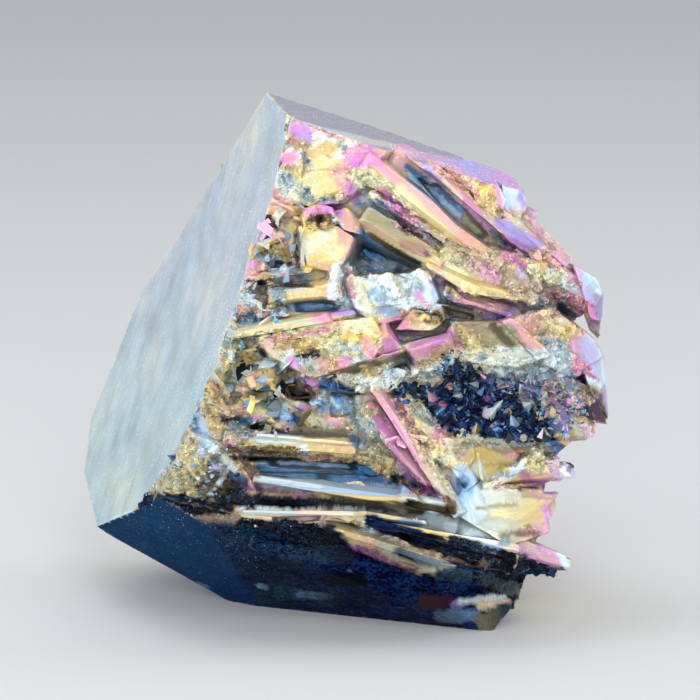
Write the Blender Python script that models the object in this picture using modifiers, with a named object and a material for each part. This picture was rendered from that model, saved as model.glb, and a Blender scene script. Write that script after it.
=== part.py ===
"""An aura quartz cluster: a sawn wedge of grown-together quartz with a druse-lined pocket.

The stone is drawn in the frame of its crystal face, in millimetres:
    u  across the face, from the sawn base of the crystals (left) to their tips (right)
    v  up the face
    w  out of the face
The face leans back by FACE_LEAN when the stone stands on its flat foot, which is the plane z = 0.
"""

import math
import random

import bmesh
import bpy
from mathutils import Matrix, Vector

MM = 0.001

# Driving dimensions, in millimetres and degrees.
FACE_LEAN = 12.0
FOOT_DROP = 1.75
CENTRE_U = -0.68
CENTRE_DEPTH = 14.99
SAW_SIZE = 90.0
SAW_INSET = 0.15
BASE_OVERSHOOT = 2.0
BASE_UNDERSHOOT = 0.6
BLADE_CORNER = math.cos(math.radians(30))

# The pocket: an ellipsoid hollow on the right of the face, and the crust of small crystals in it.
POCKET_CENTRE = (11.3, 17.0, 0.6)
POCKET_RADII = (6.2, 2.45, 4.3)
POCKET_TURN = -8.0
POCKET_RINGS = (18, 10)
CRUST_GAP = 0.3
CRUST_THICKNESS = 0.8
CRUST_RIM = -0.35
DRUSE_COUNT = 28
DRUSE_RADIUS = (0.32, 0.55)
DRUSE_LENGTH = (0.9, 1.7)
DRUSE_ROOT = 1.04
DRUSE_LEAN = (-0.35, 0.35)
DRUSE_LIFT = 0.5
DRUSE_POINT = 1.1
DRUSE_SEED = 11

# Each flat cut: a point on it and the direction that it faces.
SAW_CUTS = {
    "top_cut": ((-4.6, 39.5, 0.0), (0.285, 0.897, 0.25)),
    "under_cut": ((-15.4, 10.8, 0.0), (-0.391, -0.828, 0.402)),
}

# The sawn base of the crystals is slightly bent. Pairs of points on it, from the top down: one on
# the front edge and one on the back edge.
CRYSTAL_BASE = (
    ((-3.9, 41.9, 0.0), (-5.0, 44.1, -4.3)),
    ((-4.6, 39.6, 0.0), (-6.7, 41.6, -6.5)),
    ((-6.8, 31.9, 0.0), (-12.1, 33.2, -13.8)),
    ((-8.5, 24.6, 0.0), (-17.1, 26.1, -20.1)),
    ((-11.2, 17.7, 0.0), (-21.3, 16.2, -21.5)),
    ((-14.2, 12.3, 0.0), (-21.7, 12.1, -18.7)),
    ((-15.4, 10.8, 0.0), (-20.1, 8.2, -10.4)),
    ((-17.8, 7.8, 0.0), (-19.3, 4.2, -4.4)),
)

# Corners (u, v, w) of the massive quartz behind the crystal face.
CORE = (
    (-5.4, 40.8, -0.9), (12.2, 35.8, -1.7), (15.6, 28.5, -3.2), (16.8, 18.0, -3.8),
    (15.0, 9.0, -2.8), (11.0, 4.4, -2.8), (-0.8, 7.0, -1.6), (-16.6, 10.2, -1.2),
    (-6.8, 42.3, -6.2), (2.5, 40.1, -5.4), (12.2, 36.4, -4.4),
    (-12.8, 33.8, -14.0), (-17.8, 26.6, -20.3), (-22.1, 16.4, -21.8), (-22.5, 12.0, -18.9),
    (-20.9, 7.4, -10.4),
    (-9.4, 1.0, -14.0), (0.0, 0.3, -11.0), (6.1, -0.2, -8.2), (11.0, -0.8, -6.3), (13.2, 1.9, -6.0),
    (14.4, 26.0, -9.0), (15.2, 12.0, -12.0), (8.0, 30.0, -12.0), (3.0, 27.0, -17.5),
    (11.0, 22.0, -18.0), (-12.0, 24.0, -22.8), (11.5, 12.0, -23.0), (-14.0, 12.0, -25.0),
    (-8.0, 2.0, -27.5), (9.5, 2.0, -27.5),
)

# Long crystals behind the face: name, root, tip, radius and length of the six-sided point.
COLUMNS = (
    ("tip_high", (2.0, 30.0, -5.0), (14.9, 32.2, -4.6), 2.5, 2.6),
    ("tip_high_back", (0.0, 30.0, -8.0), (13.4, 31.6, -9.0), 2.7, 2.8),
    ("tip_shoulder", (2.0, 25.0, -7.5), (18.2, 26.6, -7.4), 2.9, 3.2),
    ("tip_shoulder_back", (0.0, 26.0, -12.0), (15.4, 27.4, -12.8), 3.1, 3.2),
    ("tip_middle", (2.0, 20.5, -9.0), (18.0, 20.9, -9.8), 3.1, 3.4),
    ("tip_middle_back", (0.0, 21.5, -15.0), (16.4, 22.4, -16.0), 3.4, 3.6),
    ("tip_waist", (2.0, 15.5, -10.0), (18.8, 15.3, -10.6), 3.0, 3.2),
    ("tip_waist_back", (0.0, 16.0, -17.0), (16.2, 16.6, -18.0), 3.5, 3.6),
    ("tip_low", (2.0, 10.6, -8.0), (15.6, 10.0, -7.8), 2.7, 3.0),
    ("tip_low_back", (0.0, 10.0, -14.5), (15.0, 9.8, -14.4), 3.2, 3.4),
    ("tip_low_far", (0.0, 10.6, -20.0), (14.6, 11.4, -21.4), 3.2, 3.4),
    ("tip_foot", (2.0, 6.0, -9.0), (15.2, 4.8, -9.2), 2.5, 2.8),
    ("tip_foot_back", (0.0, 5.0, -15.5), (14.4, 4.2, -16.0), 2.8, 3.0),
    ("tip_foot_far", (0.0, 5.5, -21.5), (13.6, 5.4, -22.6), 2.9, 3.2),
    ("back_top", (-8.4, 35.6, -8.8), (10.4, 33.2, -8.4), 2.6, 2.8),
    ("back_upper", (-11.6, 31.4, -14.2), (11.4, 28.6, -13.8), 3.1, 3.2),
    ("back_shoulder", (-14.6, 27.0, -18.8), (8.4, 24.6, -18.2), 3.1, 3.2),
    ("back_middle", (-17.6, 20.6, -21.6), (11.4, 21.6, -20.8), 3.4, 3.6),
    ("back_waist", (-17.6, 15.6, -22.6), (12.6, 15.2, -22.6), 3.0, 3.4),
    ("back_low", (-13.0, 8.8, -23.6), (12.2, 10.6, -24.4), 3.3, 3.4),
    ("back_foot", (-7.0, 5.0, -24.4), (11.2, 3.2, -25.6), 2.8, 3.0),
    # Thinner crystals in the valleys between the long ones.
    ("rib_upper", (-9.0, 33.8, -12.4), (5.0, 31.2, -12.0), 1.5, 1.8),
    ("rib_shoulder", (-9.0, 29.6, -17.4), (3.0, 26.8, -18.2), 1.6, 1.9),
    ("rib_middle", (-15.0, 24.2, -22.0), (0.5, 23.2, -22.6), 1.7, 2.0),
    ("rib_waist", (-9.0, 17.8, -24.6), (8.5, 18.8, -24.0), 1.6, 2.0),
    ("rib_low", (-14.0, 12.8, -24.6), (3.0, 11.8, -26.2), 1.7, 2.0),
    ("slanting_column", (-3.0, 4.6, -25.2), (9.6, 8.4, -27.2), 1.9, 2.2),
    ("small_tip_high", (6.0, 28.6, -9.0), (16.2, 29.2, -9.8), 1.5, 1.8),
    ("small_tip_shoulder", (6.0, 24.0, -10.5), (17.4, 24.2, -11.6), 1.6, 1.9),
    ("small_tip_middle", (8.0, 18.2, -13.0), (17.4, 18.2, -13.8), 1.7, 2.0),
    ("small_tip_waist", (8.0, 13.2, -13.0), (16.9, 12.8, -12.8), 1.6, 1.9),
    ("small_tip_far", (6.0, 13.6, -19.6), (15.0, 14.2, -20.4), 1.7, 2.0),
    ("small_tip_low", (6.0, 7.4, -11.6), (15.8, 7.2, -12.0), 1.5, 1.8),
    ("small_tip_foot", (6.0, 7.0, -18.4), (14.8, 7.6, -18.8), 1.6, 1.9),
    # Crystals that back the tips at the right edge of the face.
    ("tip_shoulder_front", (6.0, 25.6, -5.8), (19.3, 25.2, -7.0), 2.2, 2.3),
    ("tip_notch_back", (3.0, 24.0, -8.4), (17.0, 23.9, -9.0), 2.1, 2.4),
    ("tip_middle_front", (6.0, 19.0, -6.6), (19.7, 18.8, -8.0), 2.3, 2.5),
)

# Blades that lie in the face: name, root, end, width, thickness, roll in degrees, and the share
# of the width and thickness that is left at the root and at the end. Root and end are (u, v, w)
# on the blade's outer facet.
BLADES = (
    # Upper right: the long gold blade, the pink ridges beside it and the shoulder below.
    ("great_blade", (1.2, 36.2, 1.3), (11.8, 28.2, 0.7), 3.1, 4.0, -10, 0.75, 0.75),
    ("pink_ridge", (3.5, 37.4, 1.2), (12.6, 30.0, 0.5), 1.5, 4.2, 14, 0.8, 0.6),
    ("outer_ridge", (6.6, 36.8, 0.9), (15.2, 29.1, 0.0), 1.4, 4.0, -12, 0.6, 0.5),
    ("striped_blade", (1.1, 32.2, 0.8), (7.2, 28.3, 0.5), 2.6, 4.2, -22, 1.0, 0.7),
    ("striped_crest", (1.4, 33.4, 0.9), (7.4, 30.0, 0.6), 1.4, 3.4, 10, 0.6, 0.5),
    ("yellow_root", (5.7, 28.2, 0.6), (9.7, 26.0, 1.2), 1.7, 3.4, 12, 0.45, 1.0),
    ("yellow_tip", (8.6, 26.4, 1.2), (15.5, 25.1, -0.2), 1.7, 3.4, 12, 1.0, 0.35),
    ("shoulder_fold", (7.1, 25.7, 0.2), (13.1, 24.0, -0.4), 1.2, 3.2, 30, 0.7, 0.5),
    ("right_shoulder", (13.1, 29.2, -0.4), (19.4, 25.4, -3.0), 3.5, 5.0, -8, 0.8, 0.7),
    ("shoulder_top", (9.2, 35.5, 0.2), (17.1, 28.3, -2.2), 2.6, 5.0, -18, 0.8, 0.8),
    ("corner_tip", (7.8, 35.7, -0.2), (13.4, 33.4, -2.0), 2.9, 4.6, -10, 0.8, 0.75),
    # Left: the laths and ledges that start at the sawn base.
    ("bar", (-10.0, 22.4, 1.0), (-1.5, 24.0, 1.5), 1.2, 3.4, 8, 0.6, 1.0),
    ("bar_end", (-2.9, 23.8, 1.2), (0.5, 24.5, 0.9), 1.3, 3.0, -6, 1.0, 0.5),
    ("gold_ledge", (-6.3, 25.6, 0.9), (-0.8, 26.2, 1.4), 1.8, 3.2, 4, 0.8, 1.0),
    ("ledge_post", (-1.1, 28.3, 0.9), (-1.5, 25.4, 1.2), 1.2, 3.0, 0, 0.9, 0.9),
    ("upper_lath", (-7.7, 29.2, 0.8), (-5.1, 30.6, 0.6), 0.9, 2.4, -10, 0.5, 0.8),
    ("middle_lath", (-8.5, 26.8, 0.6), (-2.9, 27.7, 0.5), 0.9, 2.6, 10, 0.4, 0.8),
    ("pink_lath", (-7.5, 28.8, 0.4), (-6.0, 31.4, 0.9), 0.8, 2.4, 0, 0.4, 0.9),
    ("upright_splinter", (-3.8, 31.1, 0.7), (-3.6, 27.7, 0.5), 0.8, 2.8, 0, 0.6, 0.7),
    # Middle: shelves over the pocket and the slanting ridge.
    ("middle_shelf", (-1.5, 18.8, -0.3), (4.5, 21.1, 0.2), 2.0, 3.4, 12, 0.7, 0.8),
    ("long_shelf", (-1.1, 19.8, 0.6), (4.2, 21.5, 0.9), 0.9, 3.0, -16, 0.5, 0.7),
    ("slant_ridge", (1.7, 18.8, 0.2), (8.2, 8.8, 1.5), 1.7, 4.6, 12, 0.6, 0.7),
    ("slant_left", (0.5, 16.8, 0.0), (6.9, 9.6, 0.4), 2.6, 4.4, 22, 0.8, 0.5),
    ("slant_right", (4.2, 18.3, -0.2), (9.5, 11.1, 0.2), 2.9, 4.0, -16, 0.8, 0.8),
    ("tan_shelf", (9.2, 13.7, -0.9), (17.1, 14.2, -2.2), 2.0, 3.6, 8, 0.9, 0.7),
    ("tan_shelf_low", (9.7, 12.3, -1.0), (16.2, 12.8, -1.8), 1.5, 3.2, -6, 0.9, 0.7),
    ("slanting_splinter", (9.8, 13.7, -0.2), (10.3, 10.6, -0.4), 0.7, 2.6, 0, 0.7, 0.7),
    ("white_splinter", (10.9, 11.0, 0.2), (15.0, 13.7, -0.8), 1.0, 3.0, 0, 0.6, 0.9),
    # Low: long bars, the spear and the laths above the keel.
    ("low_bar", (-9.8, 14.6, 0.7), (0.5, 14.0, 0.9), 1.8, 3.6, 6, 0.7, 1.0),
    ("low_bar_crest", (-7.4, 15.1, 1.4), (0.0, 14.4, 1.2), 0.7, 2.4, -12, 0.6, 0.6),
    ("slot_blade", (-8.5, 12.6, -0.9), (2.3, 12.2, -1.0), 1.8, 2.8, 14, 0.8, 0.8),
    ("spear", (-7.5, 11.7, 0.9), (7.4, 9.5, 1.5), 1.9, 3.6, 4, 0.45, 0.8),
    ("spear_tip", (3.8, 9.8, 1.2), (8.5, 8.8, 0.6), 1.8, 3.2, 40, 0.9, 0.35),
    ("bright_lath", (-8.5, 9.2, 0.9), (1.4, 9.0, 1.2), 0.8, 2.4, -20, 0.3, 0.9),
    ("bright_lath_tail", (0.5, 9.1, 0.9), (6.0, 8.3, 0.6), 0.8, 2.4, -12, 0.9, 0.5),
    ("long_lath", (0.9, 8.5, 0.6), (13.1, 6.3, 0.2), 1.2, 3.4, -12, 0.5, 0.8),
    ("under_lath", (-2.2, 8.0, 0.0), (10.3, 4.1, -0.6), 1.7, 4.0, 14, 0.5, 0.7),
    ("under_lath_low", (5.4, 5.2, -1.4), (16.2, 4.2, -2.6), 1.5, 4.0, 30, 0.6, 0.6),
    # Under the face: the keel blades and the crystal that the front rests on.
    ("keel", (-7.7, 6.5, -2.4), (7.7, 3.1, -3.4), 3.4, 6.0, 34, 0.7, 0.8),
    ("keel_right", (2.3, 3.4, -4.4), (13.1, 3.1, -5.4), 1.8, 5.0, 24, 0.7, 0.6),
    ("foot_crystal", (3.2, 1.8, -6.0), (12.9, 1.5, -5.6), 2.3, 7.0, 10, 0.8, 0.62),
    # Right edge: blunt blade ends.
    ("lower_tip", (11.5, 6.8, 0.0), (17.3, 5.0, -2.6), 3.1, 5.0, -10, 1.0, 0.45),
    ("small_tip", (11.9, 12.0, 0.0), (17.6, 12.2, -2.4), 2.6, 4.4, 0, 0.8, 0.55),
    ("bulge_tip", (13.8, 15.8, -1.2), (19.2, 15.4, -3.4), 4.0, 5.4, 6, 0.9, 0.6),
)

# Broad broken faces: name, how deep the growth reaches into the stone, and its outline (u, v, w).
SLABS = (
    ("gold_slab", 3.0, (
        (-4.0, 30.9, 0.6), (-1.2, 31.1, 1.0), (0.8, 29.9, 1.3), (-0.3, 28.7, 1.0),
        (-1.1, 27.5, 0.6), (-3.3, 28.0, 0.5))),
    ("salmon_facet", 3.0, (
        (-1.5, 32.0, 0.2), (-0.3, 32.6, 0.5), (0.6, 31.7, 0.4), (1.0, 30.3, 1.3), (-0.5, 30.7, 1.1))),
    ("hole_rim", 2.6, (
        (-3.8, 32.0, 0.5), (-2.6, 32.8, 0.8), (-1.4, 32.5, 0.8), (-0.9, 31.4, 0.9),
        (-1.8, 30.6, 0.9), (-3.5, 30.9, 0.7))),
    ("upper_cap", 3.4, (
        (-4.5, 39.4, -0.3), (-0.8, 38.8, -0.2), (3.7, 37.5, 0.2), (2.3, 36.3, 0.9),
        (0.2, 33.4, 0.5), (-3.2, 33.4, 0.3), (-5.7, 34.6, 0.0))),
    ("upper_cap_low", 3.0, (
        (-5.7, 34.9, 0.2), (-1.5, 35.4, 0.7), (0.2, 34.2, 0.8), (-0.5, 32.8, 0.5),
        (-3.8, 32.6, 0.4), (-6.5, 33.1, 0.1))),
    ("left_edge_upper", 3.0, (
        (-5.4, 38.6, -0.3), (-3.5, 36.9, 0.4), (-3.8, 33.4, 0.5), (-6.0, 31.0, 0.2),
        (-7.6, 30.6, -0.1), (-7.2, 33.4, -0.2))),
    ("white_lump", 3.4, (
        (-0.4, 27.1, 0.0), (1.2, 28.2, 0.4), (4.2, 28.3, 0.5), (6.0, 27.7, 0.3),
        (6.9, 25.4, 0.6), (4.6, 24.0, 0.4), (1.7, 23.5, 0.5), (0.2, 25.2, 0.2))),
    ("white_lump_crest", 2.8, (
        (0.9, 26.8, 0.6), (2.9, 27.5, 1.0), (4.8, 26.8, 0.9), (4.2, 25.1, 0.8), (2.0, 24.8, 0.9))),
    ("gold_field", 3.2, (
        (-7.1, 22.5, 0.5), (-1.8, 23.7, 1.0), (1.7, 24.0, 0.9), (2.8, 22.3, 1.2),
        (1.4, 20.3, 0.5), (-2.9, 19.4, 0.2), (-6.2, 21.1, 0.3))),
    ("pink_pyramid", 3.0, (
        (2.6, 24.0, 0.2), (2.9, 22.8, 1.9), (4.3, 21.4, 0.4), (2.2, 21.1, 0.4), (1.2, 21.5, 0.6))),
    ("shell", 2.6, (
        (3.5, 23.1, 0.5), (4.6, 24.3, 1.2), (6.2, 24.6, 1.0), (7.4, 24.0, 0.7), (6.3, 23.0, 1.3))),
    ("shell_lip", 2.2, (
        (3.8, 24.9, 0.5), (6.2, 25.2, 0.8), (7.8, 24.9, 0.6), (7.4, 24.0, 0.3), (4.8, 24.5, 0.4))),
    ("roof_crystal", 3.0, (
        (4.0, 22.0, 0.5), (7.7, 22.9, 0.9), (7.8, 22.5, 1.6), (4.6, 21.5, 1.7),
        (4.9, 19.7, 0.2), (8.3, 20.3, 0.0))),
    ("brown_slope", 3.2, (
        (7.8, 23.7, 0.4), (11.5, 23.7, 0.6), (14.9, 21.2, -0.4), (13.1, 20.3, -0.9),
        (8.6, 20.6, -0.6), (7.4, 22.3, 0.2))),
    ("right_middle", 4.4, (
        (11.7, 23.7, 0.9), (15.8, 24.8, 0.0), (18.8, 22.5, -2.2), (19.7, 21.1, -3.2),
        (17.1, 19.4, -1.8), (14.6, 20.8, -0.2))),
    ("right_middle_ridge", 3.0, (
        (11.5, 23.8, 0.9), (12.5, 24.0, 1.0), (15.5, 21.2, 0.4), (14.6, 20.6, -0.3))),
    ("granular_field", 3.2, (
        (6.9, 29.5, 0.3), (11.5, 29.2, 0.4), (14.6, 28.3, -0.2), (13.8, 25.4, -0.3),
        (9.8, 26.2, 0.5), (6.9, 27.8, 0.3))),
    ("violet_facet", 3.2, (
        (11.1, 31.5, 0.5), (12.8, 31.7, 0.3), (15.2, 29.5, -0.4), (14.2, 28.6, -0.3), (12.0, 30.0, 0.7))),
    ("orange_facet", 3.0, (
        (8.9, 34.9, 0.6), (11.2, 34.6, 0.5), (12.0, 33.1, 0.2), (11.5, 31.2, 0.3), (9.8, 32.6, 0.7))),
    ("glint_facet", 3.2, (
        (11.7, 34.8, 0.1), (13.2, 34.2, -0.6), (13.8, 32.6, -1.0), (12.8, 31.4, -0.3), (11.8, 32.2, 0.1))),
    ("upper_tip_face", 5.0, (
        (17.2, 28.2, -1.6), (19.2, 27.2, -2.8), (19.8, 26.1, -3.6), (19.6, 22.8, -5.0),
        (18.9, 23.4, -3.4), (18.0, 26.2, -1.8))),
    ("lower_tip_face", 5.0, (
        (17.7, 22.0, -2.4), (19.2, 21.6, -3.4), (19.8, 20.9, -4.2), (20.3, 16.3, -6.2),
        (19.2, 17.5, -4.4), (18.3, 19.4, -3.0))),
    ("brown_tip_face", 4.0, (
        (16.6, 19.4, -2.4), (19.1, 18.6, -4.0), (20.2, 15.8, -6.4), (18.8, 16.0, -5.0), (16.9, 16.9, -3.6))),
    ("bright_facet", 3.6, (
        (7.8, 9.1, 0.3), (9.2, 11.5, -0.4), (11.8, 11.1, -0.2), (16.3, 10.8, -1.4),
        (15.0, 9.2, -1.1), (12.2, 8.0, 0.1))),
    ("bright_facet_low", 3.6, (
        (7.8, 9.1, 0.3), (12.2, 9.0, 0.1), (15.0, 9.2, -1.1), (15.4, 7.4, -1.2), (12.2, 6.5, 0.2))),
    ("tan_flank", 3.0, (
        (8.3, 15.4, 0.1), (11.5, 14.9, -0.6), (13.1, 13.4, -1.0), (11.5, 11.2, -0.9), (8.6, 11.1, -0.2))),
    ("knee", 2.6, (
        (7.1, 14.9, 0.6), (9.4, 14.6, 0.4), (9.7, 13.2, 0.3), (8.6, 12.2, 0.4), (6.9, 12.9, 0.5))),
    ("apron", 3.0, (
        (-1.4, 21.1, 0.2), (2.0, 20.6, 0.3), (4.2, 19.8, 0.2), (3.2, 18.3, -0.3), (-0.8, 18.3, -0.4))),
    ("low_left_field", 3.0, (
        (-15.9, 11.0, -0.1), (-12.6, 15.4, 0.0), (-8.8, 13.7, 0.4), (-7.1, 10.5, 0.3),
        (-8.5, 8.9, -0.3), (-15.4, 10.5, -0.2))),
)

# Sugary ground between the blades: centre (u, v) and crest w, radii along and across, turn.
LUMPS = (
    ((-7.4, 31.0, -0.2), 2.2, 1.6, 60), ((-5.6, 28.6, -0.3), 2.4, 2.0, 20),
    ((-7.9, 27.0, -0.5), 2.0, 1.5, 70), ((-8.4, 25.0, -0.3), 2.2, 1.4, 10),
    ((-9.4, 20.6, -0.2), 2.4, 1.8, 50), ((-6.4, 19.4, -0.3), 2.6, 1.8, 0),
    ((-10.8, 17.8, -0.4), 2.2, 1.8, 60), ((-7.6, 16.8, -0.5), 2.6, 1.5, 0),
    ((-3.0, 18.0, -0.6), 2.6, 1.6, -10), ((-12.4, 14.6, -0.6), 2.2, 1.6, 50),
    ((-1.6, 12.4, -1.2), 3.4, 1.4, 0), ((5.2, 20.0, -0.7), 2.6, 1.4, 10),
    ((6.6, 17.6, -0.6), 2.4, 2.0, -20), ((10.4, 21.0, -0.8), 3.0, 1.4, -20),
    ((15.8, 19.2, -1.9), 2.6, 1.5, -20), ((12.6, 15.0, -1.0), 3.2, 1.0, -4),
    ((17.0, 16.8, -2.2), 2.0, 1.7, 0), ((12.6, 27.4, 0.0), 2.8, 1.8, -20),
    ((5.4, 30.0, 0.0), 2.6, 1.3, -35), ((10.6, 7.6, -0.2), 2.6, 1.4, -10),
    ((13.4, 9.6, -0.6), 2.8, 1.8, 0), ((2.2, 7.0, -0.7), 3.4, 1.2, -16),
    ((-11.6, 11.4, -0.5), 2.2, 1.6, -20), ((9.6, 35.6, -0.2), 2.4, 1.2, -15),
)

# Fields of broken shards: corner and opposite corner (u, v), crest w from and to, lengths, count.
SHARD_FIELDS = (
    ((-8.6, 26.4), (-3.4, 33.0), (0.0, 0.9), (1.2, 2.6), 12),
    ((-9.6, 23.6), (-2.0, 25.4), (0.1, 0.8), (1.0, 2.2), 6),
    ((-10.6, 16.2), (-1.0, 21.4), (-0.1, 1.0), (1.3, 2.8), 15),
    ((-14.2, 10.6), (-9.6, 16.2), (-0.4, 0.6), (1.0, 2.2), 8),
    ((6.6, 20.6), (14.6, 23.0), (-0.2, 0.6), (0.8, 1.8), 5),
    ((7.0, 26.2), (14.8, 29.0), (0.2, 0.7), (0.7, 1.5), 6),
    ((15.4, 20.0), (18.0, 22.6), (-2.0, -1.0), (0.9, 1.6), 4),
    ((2.4, 12.6), (8.0, 17.0), (0.0, 0.7), (0.8, 1.8), 5),
    ((1.6, 4.8), (14.6, 6.8), (-0.8, 0.0), (1.2, 2.6), 4),
)
SHARD_SEED = 5

# Hollows: name, w of the floor, share of the outline that the floor keeps, outline (u, v).
HOLLOWS = (
    ("long_groove", -2.4, 0.55, (
        (3.6, 36.2), (6.0, 35.4), (9.2, 32.6), (12.5, 29.2), (11.6, 28.6), (8.2, 31.0), (5.4, 33.9))),
    ("deep_recess", -5.4, 0.7, (
        (0.5, 30.4), (5.9, 27.9), (4.6, 27.4), (2.4, 27.9), (0.3, 27.2), (-0.5, 28.0))),
    ("rim_hole", -1.6, 0.6, ((-2.9, 31.9), (-2.0, 32.1), (-1.7, 31.2), (-2.4, 30.8))),
    ("left_slot", -2.8, 0.7, ((-4.8, 25.3), (-1.6, 25.5), (-0.2, 25.0), (-0.6, 24.5), (-4.6, 24.3))),
    ("laths_gap", -2.4, 0.6, ((-6.8, 28.5), (-4.1, 28.5), (-4.0, 28.0), (-6.4, 27.7))),
    ("shards_gap", -3.6, 0.7, ((-5.2, 18.8), (-3.0, 19.0), (-2.7, 17.8), (-4.8, 17.6))),
    ("blue_hollow", -2.4, 0.7, ((-2.2, 18.8), (0.6, 18.4), (1.0, 16.2), (-1.8, 16.0))),
    ("low_slot", -2.4, 0.7, ((-7.2, 13.3), (0.8, 13.1), (1.6, 12.0), (-7.0, 12.5))),
    ("shell_gap", -2.8, 0.6, ((6.9, 25.1), (10.2, 24.2), (10.0, 23.7), (7.2, 24.0))),
    ("keel_recess", -3.4, 0.7, ((2.8, 7.8), (12.6, 5.6), (13.0, 5.0), (3.4, 6.8))),
    ("dark_gap", -2.6, 0.7, ((-6.6, 8.7), (-1.6, 8.9), (-1.8, 8.3), (-6.4, 8.0))),
    ("ridge_shadow", -1.8, 0.6, ((0.2, 15.6), (1.8, 15.4), (6.6, 10.4), (5.6, 9.8))),
    ("upper_notch_root", -3.8, 0.7, ((15.0, 25.2), (16.4, 25.2), (18.6, 23.8), (18.2, 23.1), (15.6, 24.5))),
    ("upper_notch", -7.0, 0.8, ((17.4, 24.3), (18.6, 23.6), (20.6, 23.6), (20.6, 22.6), (18.4, 22.8))),
    ("lower_notch", -6.0, 0.8, ((15.6, 14.2), (19.4, 14.0), (20.2, 12.8), (16.0, 13.2))),
    ("tip_notch", -5.0, 0.8, ((14.4, 11.2), (18.6, 11.4), (18.8, 10.4), (14.8, 10.4))),
)
HOLLOW_MOUTH = 4.0

# How much wider than its face a slab is where it is buried.
SLAB_SPREAD = 1.12

# A lump: points scattered on the ball, those of its buried foot, its rise above them and their depth.
LUMP_POINTS = 11
LUMP_FOOT_POINTS = 6
LUMP_RISE = 1.6
LUMP_DEPTH = 2.2
LUMP_LOWEST = -0.2

# A shard: heading and spread in radians, slope, width, thickness, roll, and the shares left at its ends.
SHARD_HEADING = (0.2, 0.75)
SHARD_SLOPE = (-0.3, 0.35)
SHARD_WIDTH = (0.45, 0.95)
SHARD_THICKNESS = 2.6
SHARD_ROLL = 30
SHARD_ROOT_SHARE = (0.6, 1.0)
SHARD_END_SHARE = 0.35

# How far a column turns about its axis from one to the next.
COLUMN_TURN = 17.0


def face_matrix():
    """The matrix that stands the stone up: it takes (u, v, w) to x, y and z."""
    turn = Matrix.Rotation(math.radians(90.0 - FACE_LEAN), 4, "X")
    place = Vector((-CENTRE_U, -CENTRE_DEPTH, FOOT_DROP)) * MM
    return Matrix.Translation(place) @ turn


def clear_scene():
    for obj in list(bpy.data.objects):
        bpy.data.objects.remove(obj)


def new_collection(name):
    collection = bpy.data.collections.new(name)
    bpy.context.scene.collection.children.link(collection)
    return collection


def add_object(name, bm, collection, helper=True):
    """Links a bmesh drawn in millimetres on the face as an object that stands with the stone."""
    bmesh.ops.recalc_face_normals(bm, faces=bm.faces)
    bmesh.ops.scale(bm, vec=(MM, MM, MM), verts=bm.verts)
    mesh = bpy.data.meshes.new(name)
    bm.to_mesh(mesh)
    bm.free()
    obj = bpy.data.objects.new(name, mesh)
    obj.matrix_world = face_matrix()
    collection.objects.link(obj)
    if helper:
        obj.hide_render = True
        obj.display_type = "WIRE"
    return obj


def boolean(obj, name, operation, collection):
    modifier = obj.modifiers.new(name, "BOOLEAN")
    modifier.operation = operation
    modifier.operand_type = "COLLECTION"
    modifier.collection = collection
    modifier.solver = "EXACT"
    return modifier


def hull(points):
    """The flat-faced solid around some points."""
    bm = bmesh.new()
    for point in points:
        bm.verts.new(point)
    made = bmesh.ops.convex_hull(bm, input=bm.verts)
    buried = [item for item in made["geom_interior"] if isinstance(item, bmesh.types.BMVert)]
    bmesh.ops.delete(bm, geom=buried, context="VERTS")
    return bm


def hexagonal_prism():
    """A six-sided prism of unit width and length along Z, with two flat sides facing +Y and -Y."""
    bm = bmesh.new()
    bmesh.ops.create_cone(bm, cap_ends=True, segments=6, radius1=0.5, radius2=0.5, depth=1.0)
    bmesh.ops.rotate(bm, verts=bm.verts, matrix=Matrix.Rotation(math.radians(30), 3, "Z"))
    return bm


def axes_along(start, end, roll=0.0):
    """Across, outward and lengthwise directions of a crystal from start to end."""
    along = (end - start).normalized()
    out = Vector((0, 0, 1)) - along * along.z
    out.normalize()
    out.rotate(Matrix.Rotation(math.radians(roll), 3, along))
    return out.cross(along), out, along


def blade(start, end, width, thickness, roll, root_share, end_share):
    """A flattened quartz prism with its outer facet on the line from start to end."""
    start = Vector(start)
    end = Vector(end)
    across, out, along = axes_along(start, end, roll)
    bm = hexagonal_prism()
    for vert in bm.verts:
        share = root_share if vert.co.z < 0 else end_share
        vert.co.x *= width * share
        vert.co.y *= thickness / BLADE_CORNER * share
        vert.co.y += thickness * (1 - share) / 2
        vert.co.z *= (end - start).length
    axes = Matrix((across, out, along)).transposed().to_4x4()
    middle = (start + end) / 2 - out * thickness / 2
    bmesh.ops.transform(bm, matrix=Matrix.Translation(middle) @ axes, verts=bm.verts)
    return bm


def column(root, tip, radius, point_length, roll=0.0):
    """A whole quartz crystal: a six-sided prism that ends in a six-sided point."""
    root = Vector(root)
    tip = Vector(tip)
    across, out, along = axes_along(root, tip, roll)
    length = (tip - root).length - point_length
    bm = hexagonal_prism()
    bmesh.ops.scale(bm, vec=(2 * radius, 2 * radius, length), verts=bm.verts)
    bm.faces.ensure_lookup_table()
    end_faces = [face for face in bm.faces if face.calc_center_median().z > length * 0.49]
    bmesh.ops.poke(bm, faces=end_faces, offset=point_length)
    axes = Matrix((across, out, along)).transposed().to_4x4()
    middle = root + along * length / 2
    bmesh.ops.transform(bm, matrix=Matrix.Translation(middle) @ axes, verts=bm.verts)
    return bm


def slab(depth, outline):
    """A broken face: the hull of its outline and of a wider copy pushed into the stone."""
    centre = sum((Vector(corner) for corner in outline), Vector()) / len(outline)
    points = [Vector(corner) for corner in outline]
    for corner in outline:
        out = (Vector(corner) - centre) * SLAB_SPREAD
        points.append(Vector((centre.x + out.x, centre.y + out.y, corner[2] - depth)))
    return hull(points)


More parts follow.
